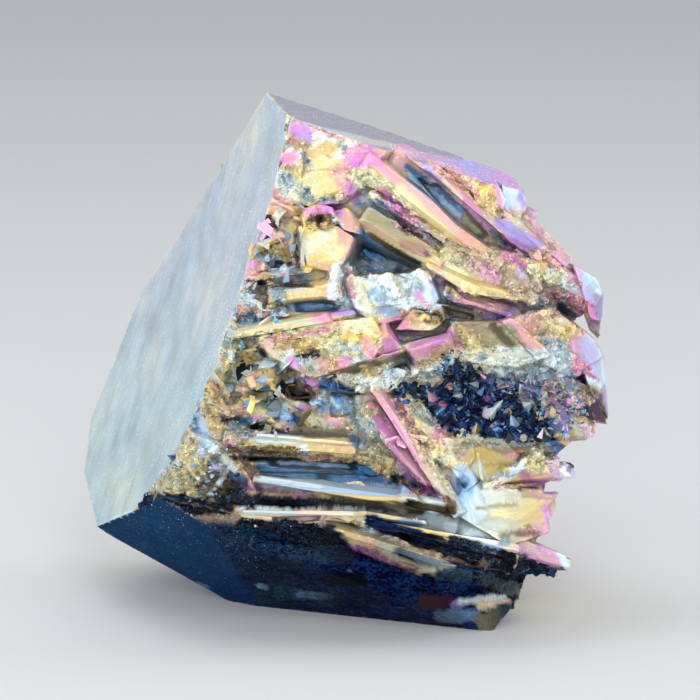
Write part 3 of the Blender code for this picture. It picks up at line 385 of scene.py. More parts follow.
# %% The strokes of the right shoulder and its tips
SHOULDER_STROKES = {
    "outer_ground": (512, 220, 562, 252, 12, "salmon", 0.92, 0.25, 0.6),
    "outer_straw": (516, 218, 530, 232, 6, "straw salmon", 0.95, 0.3, 0.4),
    "outer_violet": (500, 223, 538, 246, 6, "violet", 0.95, 0.2, 0),
    "outer_magenta": (506, 238, 534, 254, 4, "magenta violet", 0.8, 0.05, 0.3),
    "outer_dark_end": (526, 254, 542, 262, 4, "steel tan", 0.5, 0.05, 0.4),
    "outer_pink_edge": (540, 226, 566, 248, 6, "pink salmon", 0.95, 0.3, 0.5),
    "ground": (500, 272, 588, 302, 24, "tan salmon", 0.93, 0.28, 1),
    "rise": (540, 262, 585, 285, 15, "salmon pink", 0.95, 0.2, 0.9),
    "yellow": (528, 266, 560, 280, 9, "straw", 1, 0.25, 0.8),
    "orange": (540, 264, 546, 270, 4, "gold tan", 1, 0, 0.4),
    "white": (548, 270, 556, 282, 4, "silver straw", 1.05, 0.75, 0.7),
    "pale": (556, 278, 572, 292, 8, "straw silver", 0.95, 0.55, 1),
    "pink_left": (506, 252, 522, 268, 6, "pink", 0.9, 0.1, 0.9),
    "lilac_speck": (518, 268, 522, 276, 3, "violet", 1.1, 0.4, 0.6),
    "grey": (514, 288, 530, 298, 8, "steel silver", 0.75, 0.35, 1),
    "spark": (533, 297, 536, 302, 3, "silver", 1.4, 1, 0),
    "low_grey": (540, 302, 556, 304, 4, "steel silver", 0.7, 0.3, 1),
    "edge": (558, 256, 590, 280, 6, "pink violet", 1, 0.3, 0.4),
    "magenta": (572, 298, 594, 318, 8, "pink magenta", 0.95, 0.1, 0.4),
    "low_pink": (550, 296, 580, 306, 6, "salmon pink", 0.9, 0.1, 0.8),
    # Painted highlight: pale bluish glints on the right edge of the upper tip.
    "upper_tip_rim_glint": (590, 276, 602, 296, 8, "sky silver", 1.05, 0.6, 0),
    "upper_tip_lilac": (586, 292, 594, 300, 5, "violet", 1, 0.5, 0),
    "upper_tip_side": (599, 298, 604, 328, 6, "violet", 0.8, 0.45, 0),
    # Painted shade in the gap under the upper tip.
    "gap_under_tip": (560, 308, 578, 322, 6, "steel ink", 0.4, 0, 0.1),
    "cheek_ground": (520, 322, 584, 352, 18, "salmon", 0.95, 0.15, 0.9),
    "cheek_tan": (545, 316, 568, 330, 9, "tan straw", 0.95, 0.15, 0.9),
    "cheek_pink_band": (503, 323, 546, 354, 6, "pink salmon", 0.98, 0.15, 0.1),
    "cheek_band_shade": (500, 334, 528, 352, 4, "salmon tan", 0.55, 0, 0.1),
    "cheek_grey": (546, 338, 562, 346, 6, "silver", 0.8, 0.4, 1),
    "cheek_gold_specks": (566, 334, 584, 336, 5, "gold salmon", 0.95, 0.2, 1),
    "cheek_low": (540, 358, 588, 362, 9, "tan pink", 0.95, 0.1, 0.7),
    "cheek_low_pink": (560, 372, 592, 378, 7, "pink magenta", 0.85, 0.15, 0.9),
    "lower_tip_pink": (578, 344, 590, 358, 7, "pink violet", 1, 0.3, 0.1),
    "lower_tip_top": (588, 342, 604, 372, 9, "violet", 1.05, 0.55, 0),
    # Painted highlight: pale bluish glints on the right edge of the lower tip.
    "lower_tip_rim_glint": (602, 352, 606, 388, 5, "silver sky", 1.05, 0.7, 0),
    "lower_tip_ledge": (584, 378, 604, 388, 3, "sky silver", 1.1, 0.8, 0.1),
    # Painted shade on the facets under the lower tip.
    "lower_tip_shade": (582, 388, 598, 398, 5, "salmon violet", 0.5, 0, 0.1),
    "lower_tip_under": (584, 402, 602, 416, 11, "violet pink", 0.32, 0.15, 0.2),
    "lower_tip_rim": (606, 388, 612, 420, 4, "violet", 0.85, 0.5, 0),
    "knob_body": (566, 418, 582, 440, 11, "straw gold", 0.72, 0.1, 0.4),
    "knob_lines": (572, 420, 580, 436, 3, "silver straw", 0.9, 0.4, 0.2),
    "knob_pink_rim": (584, 424, 592, 442, 4, "pink violet", 0.95, 0.4, 0.5),
    "knob_foot": (566, 444, 586, 448, 3, "salmon magenta", 0.9, 0.1, 0.6),
    "knob_spark": (590, 440, 592, 444, 3, "silver sky", 1.2, 0.8, 0),
    # Painted shade in the gaps below the knob.
    "blue_gap": (552, 446, 574, 460, 8, "steel navy", 0.95, 0, 0),
    "ink_gap": (576, 454, 594, 466, 5, "ink", 0.6, 0, 0.1),
}
print(len(SHOULDER_STROKES), "strokes on the right shoulder")

# %% The strokes of the left shards, the ledge and the white lump
LEFT_STROKES = {
    # Painted light: the shard ground is lit above full light, to lift the shade among the shards.
    "shards_ground": (262, 215, 300, 262, 30, "straw salmon", 1.15, 0.25, 0.7),
    "peach_slab": (270, 200, 268, 228, 8, "salmon gold", 1, 0.1, 0.1),
    "peach_tip": (272, 192, 280, 200, 5, "pink salmon", 0.9, 0.1, 0.4),
    "second_slab": (284, 204, 294, 226, 8, "salmon gold", 1, 0.15, 0.2),
    "pale_rib": (278, 204, 290, 234, 2, "silver straw", 1, 0.7, 0),
    "pale_rib_top": (292, 192, 300, 206, 3, "straw", 1.05, 0.5, 0.1),
    "amber_knob": (298, 206, 304, 214, 5, "tan gold", 0.75, 0, 0.5),
    "pink_splinter": (268, 226, 252, 244, 6, "pink magenta", 1.15, 0.25, 0),
    "splinter_ink": (268, 222, 278, 224, 3, "navy steel", 0.6, 0, 0.3),
    "splinter_line": (256, 248, 272, 234, 2, "silver sky", 0.9, 0.5, 0),
    "gold_splinter": (254, 256, 290, 238, 7, "gold tan", 1, 0.1, 0.1),
    "splinter_pink_end": (284, 240, 292, 252, 4, "pink magenta", 0.95, 0.1, 0.4),
    "recess_ground": (266, 258, 300, 284, 12, "silver steel", 0.85, 0.3, 0.6),
    # Painted shade along the upper rim of the recess.
    "recess_rim_shade": (262, 252, 296, 256, 4, "gold", 0.6, 0, 1),
    "recess_facet": (268, 266, 284, 276, 6, "silver", 1, 0.6, 0.1),
    "recess_blue": (270, 260, 282, 266, 4, "steel sky", 0.9, 0.2, 0.3),
    "recess_pink": (284, 276, 298, 280, 4, "pink salmon", 0.85, 0.1, 0.4),
    "recess_white": (284, 270, 290, 266, 3, "silver", 1.1, 0.8, 0.4),
    "edge_violet": (249, 264, 256, 264, 5, "magenta pink", 1, 0.2, 0.3),
    "edge_pink": (240, 279, 264, 268, 4, "pink salmon", 1, 0.1, 0.3),
    "edge_ink": (254, 282, 264, 284, 3, "steel ink", 0.6, 0, 0.4),
    "edge_gold": (246, 284, 252, 286, 4, "pink tan", 0.85, 0.1, 0.7),
    "slab_gold": (302, 236, 338, 256, 19, "gold straw", 1, 0.08, 0.3),
    "slab_pale": (308, 246, 330, 232, 8, "straw", 1.05, 0.3, 0.3),
    "slab_left_rim": (302, 234, 306, 272, 3, "straw silver", 0.9, 0.5, 0.1),
    # Painted shade in the crease beside the slab.
    "slab_crease": (296, 232, 300, 280, 3, "steel tan", 0.55, 0.2, 0.5),
    "slab_low": (316, 268, 332, 290, 12, "gold", 1, 0, 0.4),
    "slab_low_pink": (314, 264, 336, 272, 3, "salmon pink", 1, 0.05, 0.3),
    "slab_pink_side": (344, 262, 360, 236, 4, "salmon magenta", 1, 0.08, 0.1),
    "salmon_facet": (348, 212, 348, 236, 10, "salmon", 1, 0.05, 0),
    "salmon_facet_top": (346, 206, 354, 210, 4, "gold straw", 1, 0.1, 0.1),
    "facet_white_edge": (355, 208, 364, 230, 3, "silver steel", 0.95, 0.5, 0.1),
    "hole_rim": (310, 212, 336, 210, 6, "pink magenta", 1, 0.1, 0.5),
    # Painted shade in the hole.
    "hole_depth": (314, 222, 330, 222, 7, "tan gold", 0.5, 0, 0.8),
    "hole_gold": (312, 228, 326, 224, 3, "gold tan", 0.9, 0, 0.8),
    "hole_white": (334, 218, 340, 226, 2, "silver", 1, 0.6, 0.5),
    # Painted shade at the mouth of the notch. The notch strokes after it are lit above full light: painted
    # light over the shade in the notch, in the blue of its film.
    "notch_rim_shade": (342, 268, 354, 258, 4, "straw steel", 0.5, 0.1, 0.1),
    "notch_wall": (352, 262, 366, 240, 6, "steel", 1.25, 0.2, 0),
    "notch_depth": (370, 238, 416, 262, 15, "steel", 1.3, 0.05, 0),
    "notch_depth_blue": (364, 246, 378, 260, 8, "steel", 1.2, 0, 0),
    "ledge_gold": (272, 302, 332, 290, 9, "gold straw", 0.95, 0.12, 0.3),
    "ledge_pale_line": (270, 292, 320, 284, 2, "silver straw", 0.9, 0.5, 0.2),
    "ledge_dark": (264, 288, 312, 285, 2, "steel tan", 0.45, 0, 0.5),
    "ledge_blue_edge": (278, 306, 330, 300, 2, "sky steel", 0.85, 0.3, 0.2),
    "ledge_block": (320, 276, 334, 292, 9, "gold tan", 1, 0, 0.3),
    "ledge_pink": (336, 284, 338, 297, 3, "pink salmon", 0.95, 0.05, 0.2),
    # Painted light over the shade in the slot, in the blue of its film.
    "slot_blue": (288, 313, 340, 303, 7, "sky steel", 1.25, 0.1, 0.1),
    "slot_deep": (290, 315, 312, 310, 3, "steel", 1.5, 0, 0.1),
    "slot_rise": (343, 270, 350, 300, 6, "navy steel", 1, 0, 0.1),
    "slot_sky": (338, 307, 352, 308, 5, "sky", 1.05, 0.3, 0.5),
    "slot_pink_wall": (350, 288, 362, 306, 4, "pink salmon", 0.95, 0.1, 0.4),
    "slot_knob": (282, 306, 288, 314, 5, "tan salmon", 1, 0.1, 0.3),
    "edge_ground": (240, 305, 274, 300, 12, "tan silver", 0.75, 0.3, 1),
    "white": (246, 296, 256, 300, 7, "silver", 1, 0.85, 0.8),
    "amber": (262, 296, 270, 302, 5, "gold tan", 0.8, 0.1, 0.7),
    "orange": (240, 310, 284, 309, 4, "salmon tan", 0.9, 0.1, 0.9),
    "gold": (230, 314, 238, 326, 5, "tan straw", 0.85, 0.2, 1),
    "blue_specks": (246, 322, 278, 316, 8, "steel sky", 0.9, 0.3, 1),
    "blue_bright": (262, 316, 276, 320, 5, "sky silver", 0.95, 0.45, 0.2),
    "blue_band": (230, 329, 282, 322, 4, "sky steel", 1, 0.1, 0.2),
    "lump_ground": (352, 286, 416, 290, 26, "silver", 1.15, 0.8, 0.75),
    "lump_yellow": (354, 282, 372, 300, 11, "straw", 1.02, 0.35, 0.5),
    "lump_gold_streak": (392, 268, 402, 290, 4, "straw gold", 0.9, 0.35, 0.5),
    "lump_blue": (376, 294, 386, 304, 6, "sky silver", 1, 0.45, 0.6),
    "lump_blue_foot": (380, 310, 400, 312, 4, "sky steel", 0.9, 0.45, 0.5),
    "lump_shadow": (398, 272, 408, 296, 2.4, "steel silver", 0.85, 0.6, 0.5),
    "lump_pale_right": (408, 280, 424, 296, 8, "silver sky", 1.02, 0.6, 0.6),
    "lump_pink_root": (346, 272, 352, 296, 4, "salmon pink", 0.9, 0.2, 0.5),
    "lump_top_blue": (362, 268, 412, 266, 3, "sky steel", 1, 0.5, 0.5),
}
print(len(LEFT_STROKES), "strokes on the left")

# %% The strokes of the middle: striated blade, shell, bar, pyramid and roof crystal
MIDDLE_STROKES = {
    "striped_ground": (366, 218, 446, 262, 12, "tan", 0.9, 0.12, 0.1),
    "striped_upper": (366, 216, 404, 232, 5, "straw", 0.75, 0.2, 0.1),
    "striped_lines": (366, 230, 428, 262, 2, "gold straw", 0.95, 0.1, 0),
    "striped_shade": (370, 236, 424, 268, 3, "tan navy", 0.4, 0, 0.1),
    "striped_brown": (404, 244, 440, 258, 5, "salmon tan", 0.8, 0.1, 0.1),
    "striped_steel": (378, 204, 398, 218, 5, "steel", 0.85, 0.1, 0.3),
    "striped_pale": (370, 208, 390, 216, 3, "silver straw", 0.85, 0.4, 0.5),
    "crest_magenta": (392, 206, 414, 220, 4, "magenta pink", 0.95, 0.1, 0.9),
    "crest_pink": (400, 224, 424, 230, 5, "pink salmon", 0.85, 0.1, 1),
    # Painted shade on the low side of the crest.
    "crest_dark": (404, 230, 422, 236, 3, "magenta tan", 0.4, 0, 1),
    "crest_white": (420, 226, 430, 238, 4, "silver pink", 0.95, 0.6, 1),
    "crest_violet": (432, 240, 442, 246, 4, "violet magenta", 0.85, 0.2, 0.7),
    # Painted shade at the foot of the crest.
    "crest_low_shade": (428, 254, 440, 260, 4, "magenta tan", 0.45, 0, 0.8),
    "grain_ground": (444, 250, 520, 300, 17, "tan", 0.93, 0.25, 1),
    "grain_straw": (440, 250, 456, 262, 7, "straw", 0.9, 0.1, 0.7),
    "grain_pink": (472, 264, 494, 276, 7, "salmon pink", 0.92, 0.3, 1),
    # Painted shade: a dim line across the grainy field.
    "grain_shade": (446, 268, 482, 282, 3, "tan straw", 0.5, 0, 0.8),
    "yellow_body": (432, 266, 500, 296, 9, "straw gold", 1.04, 0.1, 0.2),
    "yellow_crest": (428, 262, 440, 268, 4, "gold salmon", 1.05, 0.1, 0.1),
    "yellow_tail": (494, 296, 516, 304, 5, "straw salmon", 0.9, 0.15, 0.6),
    "yellow_pink_line": (430, 270, 470, 300, 2, "salmon pink", 1, 0.2, 0.1),
    "yellow_magenta": (460, 304, 528, 310, 6, "pink salmon", 0.92, 0.15, 0.5),
    "yellow_low_violet": (476, 318, 512, 312, 4, "magenta violet", 0.8, 0.05, 0.4),
    "cluster_violet": (434, 283, 440, 288, 4, "violet magenta", 0.95, 0.15, 0.3),
    "cluster_pink": (420, 294, 426, 302, 5, "magenta pink", 1.05, 0.2, 0.1),
    "cluster_white": (428, 292, 434, 298, 5, "silver", 1.1, 0.85, 0.2),
    "cluster_sky": (436, 292, 442, 304, 5, "sky", 1.05, 0.5, 0.3),
    "cluster_lilac": (446, 296, 452, 298, 3, "steel violet", 0.8, 0.3, 0.4),
    "shell_ground": (405, 318, 434, 322, 9, "salmon tan", 0.85, 0.05, 0.6),
    "shell_gold": (424, 318, 444, 314, 5, "gold salmon", 0.95, 0.05, 0.3),
    "shell_pink": (396, 322, 414, 330, 6, "magenta pink", 1, 0.1, 0.2),
    "shell_arc": (416, 310, 442, 316, 3, "tan ink", 0.2, 0, 0.6),
    "shell_arc_low": (424, 322, 446, 322, 2, "tan", 0.3, 0, 0.6),
    "shell_peach": (412, 326, 432, 330, 4, "salmon straw", 1, 0.2, 0.4),
    "shell_shadow": (396, 334, 412, 334, 3, "steel straw", 0.4, 0.1, 0.2),
    # Painted shade in the scoop and on the slope below it.
    "scoop_shade": (450, 310, 486, 330, 9, "straw tan", 0.5, 0.1, 0.5),
    "scoop_ink": (448, 304, 472, 308, 2.4, "steel ink", 0.6, 0, 0.5),
    "scoop_pale": (452, 318, 462, 336, 4, "silver straw", 0.7, 0.4, 0.8),
    "slope_shade_broad": (466, 334, 506, 340, 15, "tan straw", 0.66, 0.12, 0.5),
    "slope_gold_specks": (460, 330, 476, 346, 5, "gold straw", 0.85, 0.15, 1),
    "slope_shade": (494, 326, 512, 348, 5, "tan straw", 0.38, 0, 0.2),
    "bar_body": (232, 335, 330, 318, 8, "straw", 0.97, 0.3, 0.1),
    "bar_tan": (226, 337, 300, 328, 4, "straw gold", 0.98, 0.2, 0.1),
    "bar_top_line": (262, 322, 320, 311, 3, "straw gold", 1, 0.25, 0.1),
    "bar_pink_under": (226, 343, 306, 335, 2.6, "magenta pink", 0.97, 0.15, 0.5),
    "bar_pink_end": (318, 316, 332, 322, 6, "pink salmon", 1, 0.05, 0.3),
    # Painted shade under the bar.
    "bar_dark_under": (232, 350, 262, 354, 4, "tan ink", 0.3, 0, 0.9),
    "bar_pink_low": (256, 345, 270, 350, 5, "pink salmon", 0.9, 0.1, 0.8),
    "field_ground": (272, 345, 378, 345, 17, "straw", 0.95, 0.15, 1),
    "field_tan": (276, 340, 310, 346, 7, "tan gold", 0.85, 0.05, 1),
    "field_pink_line": (270, 338, 330, 330, 2, "salmon pink", 0.95, 0.1, 0.7),
    "field_sparks": (334, 350, 362, 342, 8, "straw silver", 0.95, 0.35, 1),
    "field_yellow": (352, 326, 380, 328, 12, "straw", 1.06, 0.1, 0.5),
    "field_yellow_low": (344, 336, 372, 340, 5, "gold", 1, 0, 0.6),
    "field_top_violet": (330, 312, 356, 312, 3, "magenta violet", 0.9, 0.05, 0.3),
    "field_scar": (298, 354, 318, 356, 3, "ink steel", 0.5, 0, 0.8),
    "field_scar_two": (310, 350, 322, 350, 2, "magenta ink", 0.5, 0, 0.8),
    "field_pale_low": (300, 362, 322, 370, 6, "silver straw", 0.9, 0.6, 0.9),
    "field_peach_low": (322, 364, 344, 366, 6, "salmon gold", 1, 0.1, 0.9),
    "field_pink_speck": (342, 362, 356, 362, 4, "pink magenta", 1, 0.1, 0.6),
    "field_white_low": (352, 364, 368, 358, 3, "silver", 1, 0.75, 0.6),
    "field_pink_foot": (330, 372, 350, 366, 2, "pink salmon", 0.9, 0.1, 0.4),
    "pyramid_body": (386, 326, 392, 350, 8, "pink magenta", 1, 0.2, 0.3),
    "pyramid_right": (398, 338, 402, 348, 4, "magenta pink", 1, 0.1, 0.3),
    "pyramid_gold": (376, 326, 384, 334, 4, "gold salmon", 1, 0, 0.2),
    "pyramid_left": (366, 344, 378, 356, 7, "salmon pink", 1, 0.1, 0.5),
    "roof_top": (402, 346, 448, 330, 4, "straw salmon", 0.95, 0.3, 0),
    "roof_edge": (410, 346, 452, 332, 2, "magenta", 1, 0.15, 0.1),
    "roof_front": (414, 354, 446, 342, 9, "pink magenta", 0.88, 0.15, 0.3),
    "roof_front_low": (414, 364, 430, 360, 4, "pink salmon", 0.8, 0.05, 0.3),
    "roof_front_grain": (434, 350, 448, 346, 5, "salmon tan", 0.8, 0.1, 0.6),
    # Painted shade below the roof crystal and on its wall.
    "olive_shade": (332, 376, 406, 356, 5, "straw", 0.33, 0, 0.2),
    "roof_wall_shade": (384, 360, 410, 362, 5, "straw steel", 0.6, 0.1, 0.2),
    "low_field_ground": (330, 384, 420, 376, 9, "straw silver", 1.1, 0.5, 1),
    "low_field_gold": (366, 372, 386, 368, 5, "gold straw", 0.85, 0.2, 0.9),
    "low_field_grey": (392, 368, 400, 384, 5, "silver", 0.95, 0.5, 1),
    "low_field_left": (318, 376, 350, 386, 5, "salmon straw", 0.85, 0.3, 0.6),
    "low_field_right": (408, 384, 444, 368, 10, "straw silver", 1, 0.45, 0.9),
    "under_roof_tan": (424, 362, 452, 356, 6, "straw tan", 0.75, 0.1, 0.9),
    "rose_knot": (460, 348, 466, 356, 5, "pink magenta", 0.95, 0.15, 0.7),
    "sheet_ground": (462, 362, 560, 360, 13, "straw silver", 1.02, 0.45, 0.85),
    "sheet_straw": (468, 371, 540, 372, 6, "straw silver", 1, 0.5, 0.8),
    "sheet_lines": (478, 356, 560, 352, 3, "straw silver", 0.97, 0.4, 0.3),
    "sheet_blue_eye": (480, 358, 484, 357, 3, "sky steel", 0.9, 0.3, 0.3),
    "sheet_right": (545, 366, 566, 372, 6, "silver", 0.95, 0.4, 1),
    "rim_grey": (500, 379, 574, 385, 8, "silver steel", 0.95, 0.4, 1),
    "rim_pink": (540, 388, 586, 398, 9, "pink tan", 0.7, 0.15, 1),
    "rim_right_dark": (560, 400, 584, 410, 7, "violet steel", 0.45, 0.15, 1),
    "rim_left_tan": (414, 392, 440, 384, 6, "straw tan", 0.8, 0.2, 1),
    "rim_left_dark": (402, 394, 436, 410, 7, "straw steel", 0.45, 0.08, 1),
    "rim_foot_grey": (452, 438, 540, 442, 7, "silver straw", 0.8, 0.35, 1),
    "rim_foot_gold": (466, 428, 480, 432, 4, "gold straw", 0.8, 0.1, 0.9),
}
print(len(MIDDLE_STROKES), "strokes in the middle")

# %% The strokes of the lower left: broken shards, low bar and slant ridge
LOWER_STROKES = {
    # The broken field is dim, and its dark strokes paint the shade in the gaps between shards.
    "broken_ground": (232, 362, 292, 398, 30, "straw tan", 0.68, 0.25, 0.9),
    "broken_edge": (226, 346, 204, 408, 10, "straw gold", 0.8, 0.2, 1),
    "broken_cream": (222, 352, 232, 356, 5, "straw silver", 0.95, 0.5, 0.8),
    "broken_shade_top": (240, 356, 262, 362, 4, "gold tan", 0.6, 0, 0.7),
    "broken_ink_top": (262, 352, 276, 358, 5, "ink", 0.5, 0, 0.6),
    "broken_ink_left": (240, 370, 254, 368, 4, "ink steel", 0.5, 0, 0.6),
    "broken_white": (260, 368, 270, 362, 5, "silver", 1.05, 0.9, 0.3),
    "broken_white_two": (283, 364, 290, 354, 5, "silver straw", 1.05, 0.8, 0.3),
    "broken_pale_run": (236, 378, 256, 372, 4, "silver straw", 0.8, 0.5, 0.7),
    "broken_peach": (236, 392, 256, 382, 4, "salmon gold", 0.95, 0.15, 0.4),
    "broken_peach_two": (258, 376, 272, 380, 6, "salmon tan", 0.9, 0.1, 0.3),
    "broken_gold_rib": (268, 372, 280, 400, 4, "gold tan", 0.85, 0.05, 0.2),
    # Painted shade on the low leaves of the broken field.
    "broken_leaf_shade": (240, 404, 264, 390, 6, "straw tan", 0.4, 0.05, 0.2),
    "broken_grey_leaf": (262, 398, 276, 404, 5, "straw steel", 0.5, 0.15, 0.4),
    "strut_cream": (268, 344, 278, 364, 5, "salmon straw", 1, 0.25, 0.4),
    "strut_grey": (276, 366, 286, 386, 4, "steel straw", 0.55, 0.2, 0.3),
    "dart_pink": (291, 360, 302, 376, 4, "magenta pink", 1.15, 0.25, 0.1),
    "dart_straw": (299, 372, 304, 382, 4, "straw gold", 1, 0.2, 0.1),
    # Painted shade below the pink dart.
    "dart_shade": (286, 376, 300, 392, 5, "tan gold", 0.45, 0, 0.4),
    "magenta_shard": (304, 378, 324, 384, 6, "magenta pink", 1.12, 0.12, 0),
    "magenta_shard_top": (302, 374, 322, 378, 3, "straw gold", 0.95, 0.3, 0.2),
    # Painted shade in the gap. The blue strokes after it are lit above full light, against its shade.
    "gap_ink": (284, 386, 312, 402, 8, "ink", 0.5, 0, 0.2),
    "gap_gold_edge": (290, 386, 316, 392, 2, "gold tan", 0.7, 0, 0.3),
    "gap_navy": (326, 384, 348, 394, 8, "steel navy", 1.1, 0, 0.2),
    "gap_sky": (318, 404, 346, 408, 8, "sky steel", 1, 0.3, 0.7),
    "gap_sky_bright": (330, 398, 338, 406, 3, "silver sky", 1.15, 0.8, 0.5),
    "gap_steel": (340, 398, 352, 412, 5, "steel", 1.3, 0.05, 0.3),
    "gap_white_tooth": (320, 396, 328, 392, 2, "silver", 1.1, 0.85, 0.1),
    "shard_gold_left": (246, 404, 264, 410, 8, "gold straw", 0.95, 0.1, 0.5),
    "shard_pink_foot": (246, 419, 268, 418, 3, "magenta pink", 0.95, 0.1, 0.3),
    "shard_tan_left": (224, 412, 244, 408, 5, "tan salmon", 0.85, 0.15, 0.8),
    "shard_steel_right": (266, 406, 280, 414, 5, "silver steel", 0.8, 0.4, 0.5),
    "blue_ball_rim": (280, 406, 296, 404, 4, "sky straw", 0.95, 0.4, 0.5),
    "blue_ball": (284, 416, 292, 420, 6, "sky steel", 1, 0.2, 0.5),
    "blue_ball_shade": (293, 414, 298, 424, 3, "navy", 1, 0, 0.1),
    "tan_rib": (288, 402, 316, 408, 3, "straw salmon", 0.9, 0.35, 0.3),
    "violet_speck": (300, 408, 306, 408, 3, "violet magenta", 0.95, 0.1, 0.2),
    "cream_leaf": (308, 416, 326, 426, 7, "straw", 0.85, 0.3, 0.2),
    "cream_leaf_shade": (300, 412, 304, 424, 3, "tan straw", 0.45, 0, 0.3),
    "salmon_knob": (330, 418, 338, 424, 5, "salmon pink", 0.95, 0.1, 0.2),
    "tan_run": (264, 422, 292, 432, 5, "gold salmon", 0.95, 0.15, 0.3),
    # Painted shade along the run below the cream leaf.
    "run_shade": (296, 430, 344, 436, 5, "straw", 0.42, 0.05, 0.3),
    "navy_run": (222, 420, 250, 420, 4, "navy steel", 0.8, 0, 0.4),
    "needles_white": (232, 432, 268, 428, 7, "silver steel", 0.75, 0.45, 1),
    "needles_dark": (250, 426, 290, 434, 3, "ink steel", 0.5, 0, 0.6),
    "needles_tan": (222, 436, 240, 440, 5, "straw tan", 0.85, 0.3, 0.9),
    "low_bar_gold": (272, 447, 350, 449, 8, "gold tan", 0.98, 0.05, 0.4),
    "low_bar_white": (258, 438, 300, 440, 5, "silver straw", 1, 0.6, 0),
    "low_bar_straw": (300, 442, 344, 441, 3, "straw gold", 1, 0.25, 0.1),
    "low_bar_grains": (224, 448, 304, 452, 5, "tan gold", 0.4, 0.02, 1),
    "low_bar_pink": (226, 444, 244, 448, 3, "pink tan", 0.8, 0.1, 0.9),
    "low_bar_foot": (308, 456, 350, 458, 3, "salmon gold", 0.85, 0.05, 0.9),
    "low_bar_spark": (303, 447, 305, 452, 3, "silver", 1.1, 0.8, 0.6),
    "bar_shadow": (220, 458, 300, 460, 3, "ink", 0.5, 0, 0.2),
    "bar_shadow_right": (300, 463, 360, 464, 3, "ink navy", 0.6, 0, 0.2),
    "steel_plane": (262, 470, 372, 474, 9, "steel", 1, 0.05, 0),
    "steel_plane_top": (262, 463, 330, 466, 3, "steel", 0.9, 0.25, 0.1),
    "blue_flank": (354, 438, 372, 464, 5, "steel sky", 0.95, 0.15, 0.2),
    "blue_flank_glint": (360, 446, 366, 456, 2, "sky silver", 1.15, 0.6, 0.1),
    "blue_foot": (364, 470, 390, 482, 9, "steel navy", 1.1, 0, 0.1),
    "white_collar": (352, 406, 368, 432, 8, "silver", 0.85, 0.6, 0.9),
    "white_collar_lit": (358, 398, 364, 412, 4, "silver", 1.05, 0.8, 0.6),
    "flank_ground": (372, 402, 392, 466, 15, "straw", 0.82, 0.2, 1),
    "flank_orange": (368, 400, 374, 406, 4, "salmon", 1, 0.1, 0.4),
    "flank_grey": (370, 424, 380, 440, 5, "silver straw", 0.8, 0.45, 1),
    "flank_gold": (362, 455, 385, 470, 7, "straw gold", 0.85, 0.15, 1),
    "apron_ground": (414, 430, 460, 450, 21, "straw", 0.98, 0.25, 0.9),
    "apron_low": (420, 470, 452, 480, 15, "straw", 1.02, 0.28, 0.9),
    "apron_green": (408, 404, 436, 416, 10, "straw silver", 0.75, 0.2, 0.9),
    "apron_pink": (440, 434, 450, 440, 7, "pink salmon", 0.9, 0.1, 0.7),
    "apron_peach": (452, 444, 468, 454, 8, "salmon", 0.95, 0.12, 0.5),
    "apron_rose_low": (460, 468, 468, 472, 4, "pink salmon", 0.9, 0.15, 0.6),
    "apron_grey": (430, 462, 446, 468, 6, "silver straw", 0.8, 0.4, 1),
    "apron_cream_line": (448, 440, 454, 462, 3, "straw", 1.05, 0.4, 0.4),
    "ridge_salmon_flank": (394, 404, 442, 488, 9, "salmon straw", 0.97, 0.2, 0.8),
    "slant_pink": (382, 398, 420, 474, 6, "pink", 1, 0.25, 0.3),
    "slant_magenta": (394, 424, 416, 462, 2.4, "magenta pink", 0.95, 0.1, 0.3),
    "slant_glow": (394, 428, 406, 452, 3, "pink", 1.05, 0.25, 0),
    "slant_top": (372, 392, 384, 404, 4, "salmon pink", 0.95, 0.1, 0.3),
    "slant_left_flank": (378, 418, 410, 478, 5, "magenta pink", 0.97, 0.15, 0.3),
    "slant_end": (424, 470, 448, 498, 5, "salmon straw", 0.95, 0.3, 0.3),
    "slant_foot_pink": (402, 470, 430, 486, 3, "magenta pink", 0.95, 0.1, 0.8),
    # Painted shade at the foot of the slant ridge.
    "slant_foot_ink": (394, 478, 436, 494, 5, "ink violet", 0.35, 0, 0.7),
    "slant_foot_violet": (412, 480, 428, 490, 3, "violet magenta", 0.5, 0, 0.5),
    "slant_end_pink": (436, 498, 452, 508, 4, "magenta pink", 0.95, 0.2, 0.7),
    # Painted shade at the end of the slant ridge.
    "slant_end_shade": (446, 498, 454, 506, 3, "salmon tan", 0.5, 0, 0.6),
}
print(len(LOWER_STROKES), "strokes on the lower left")

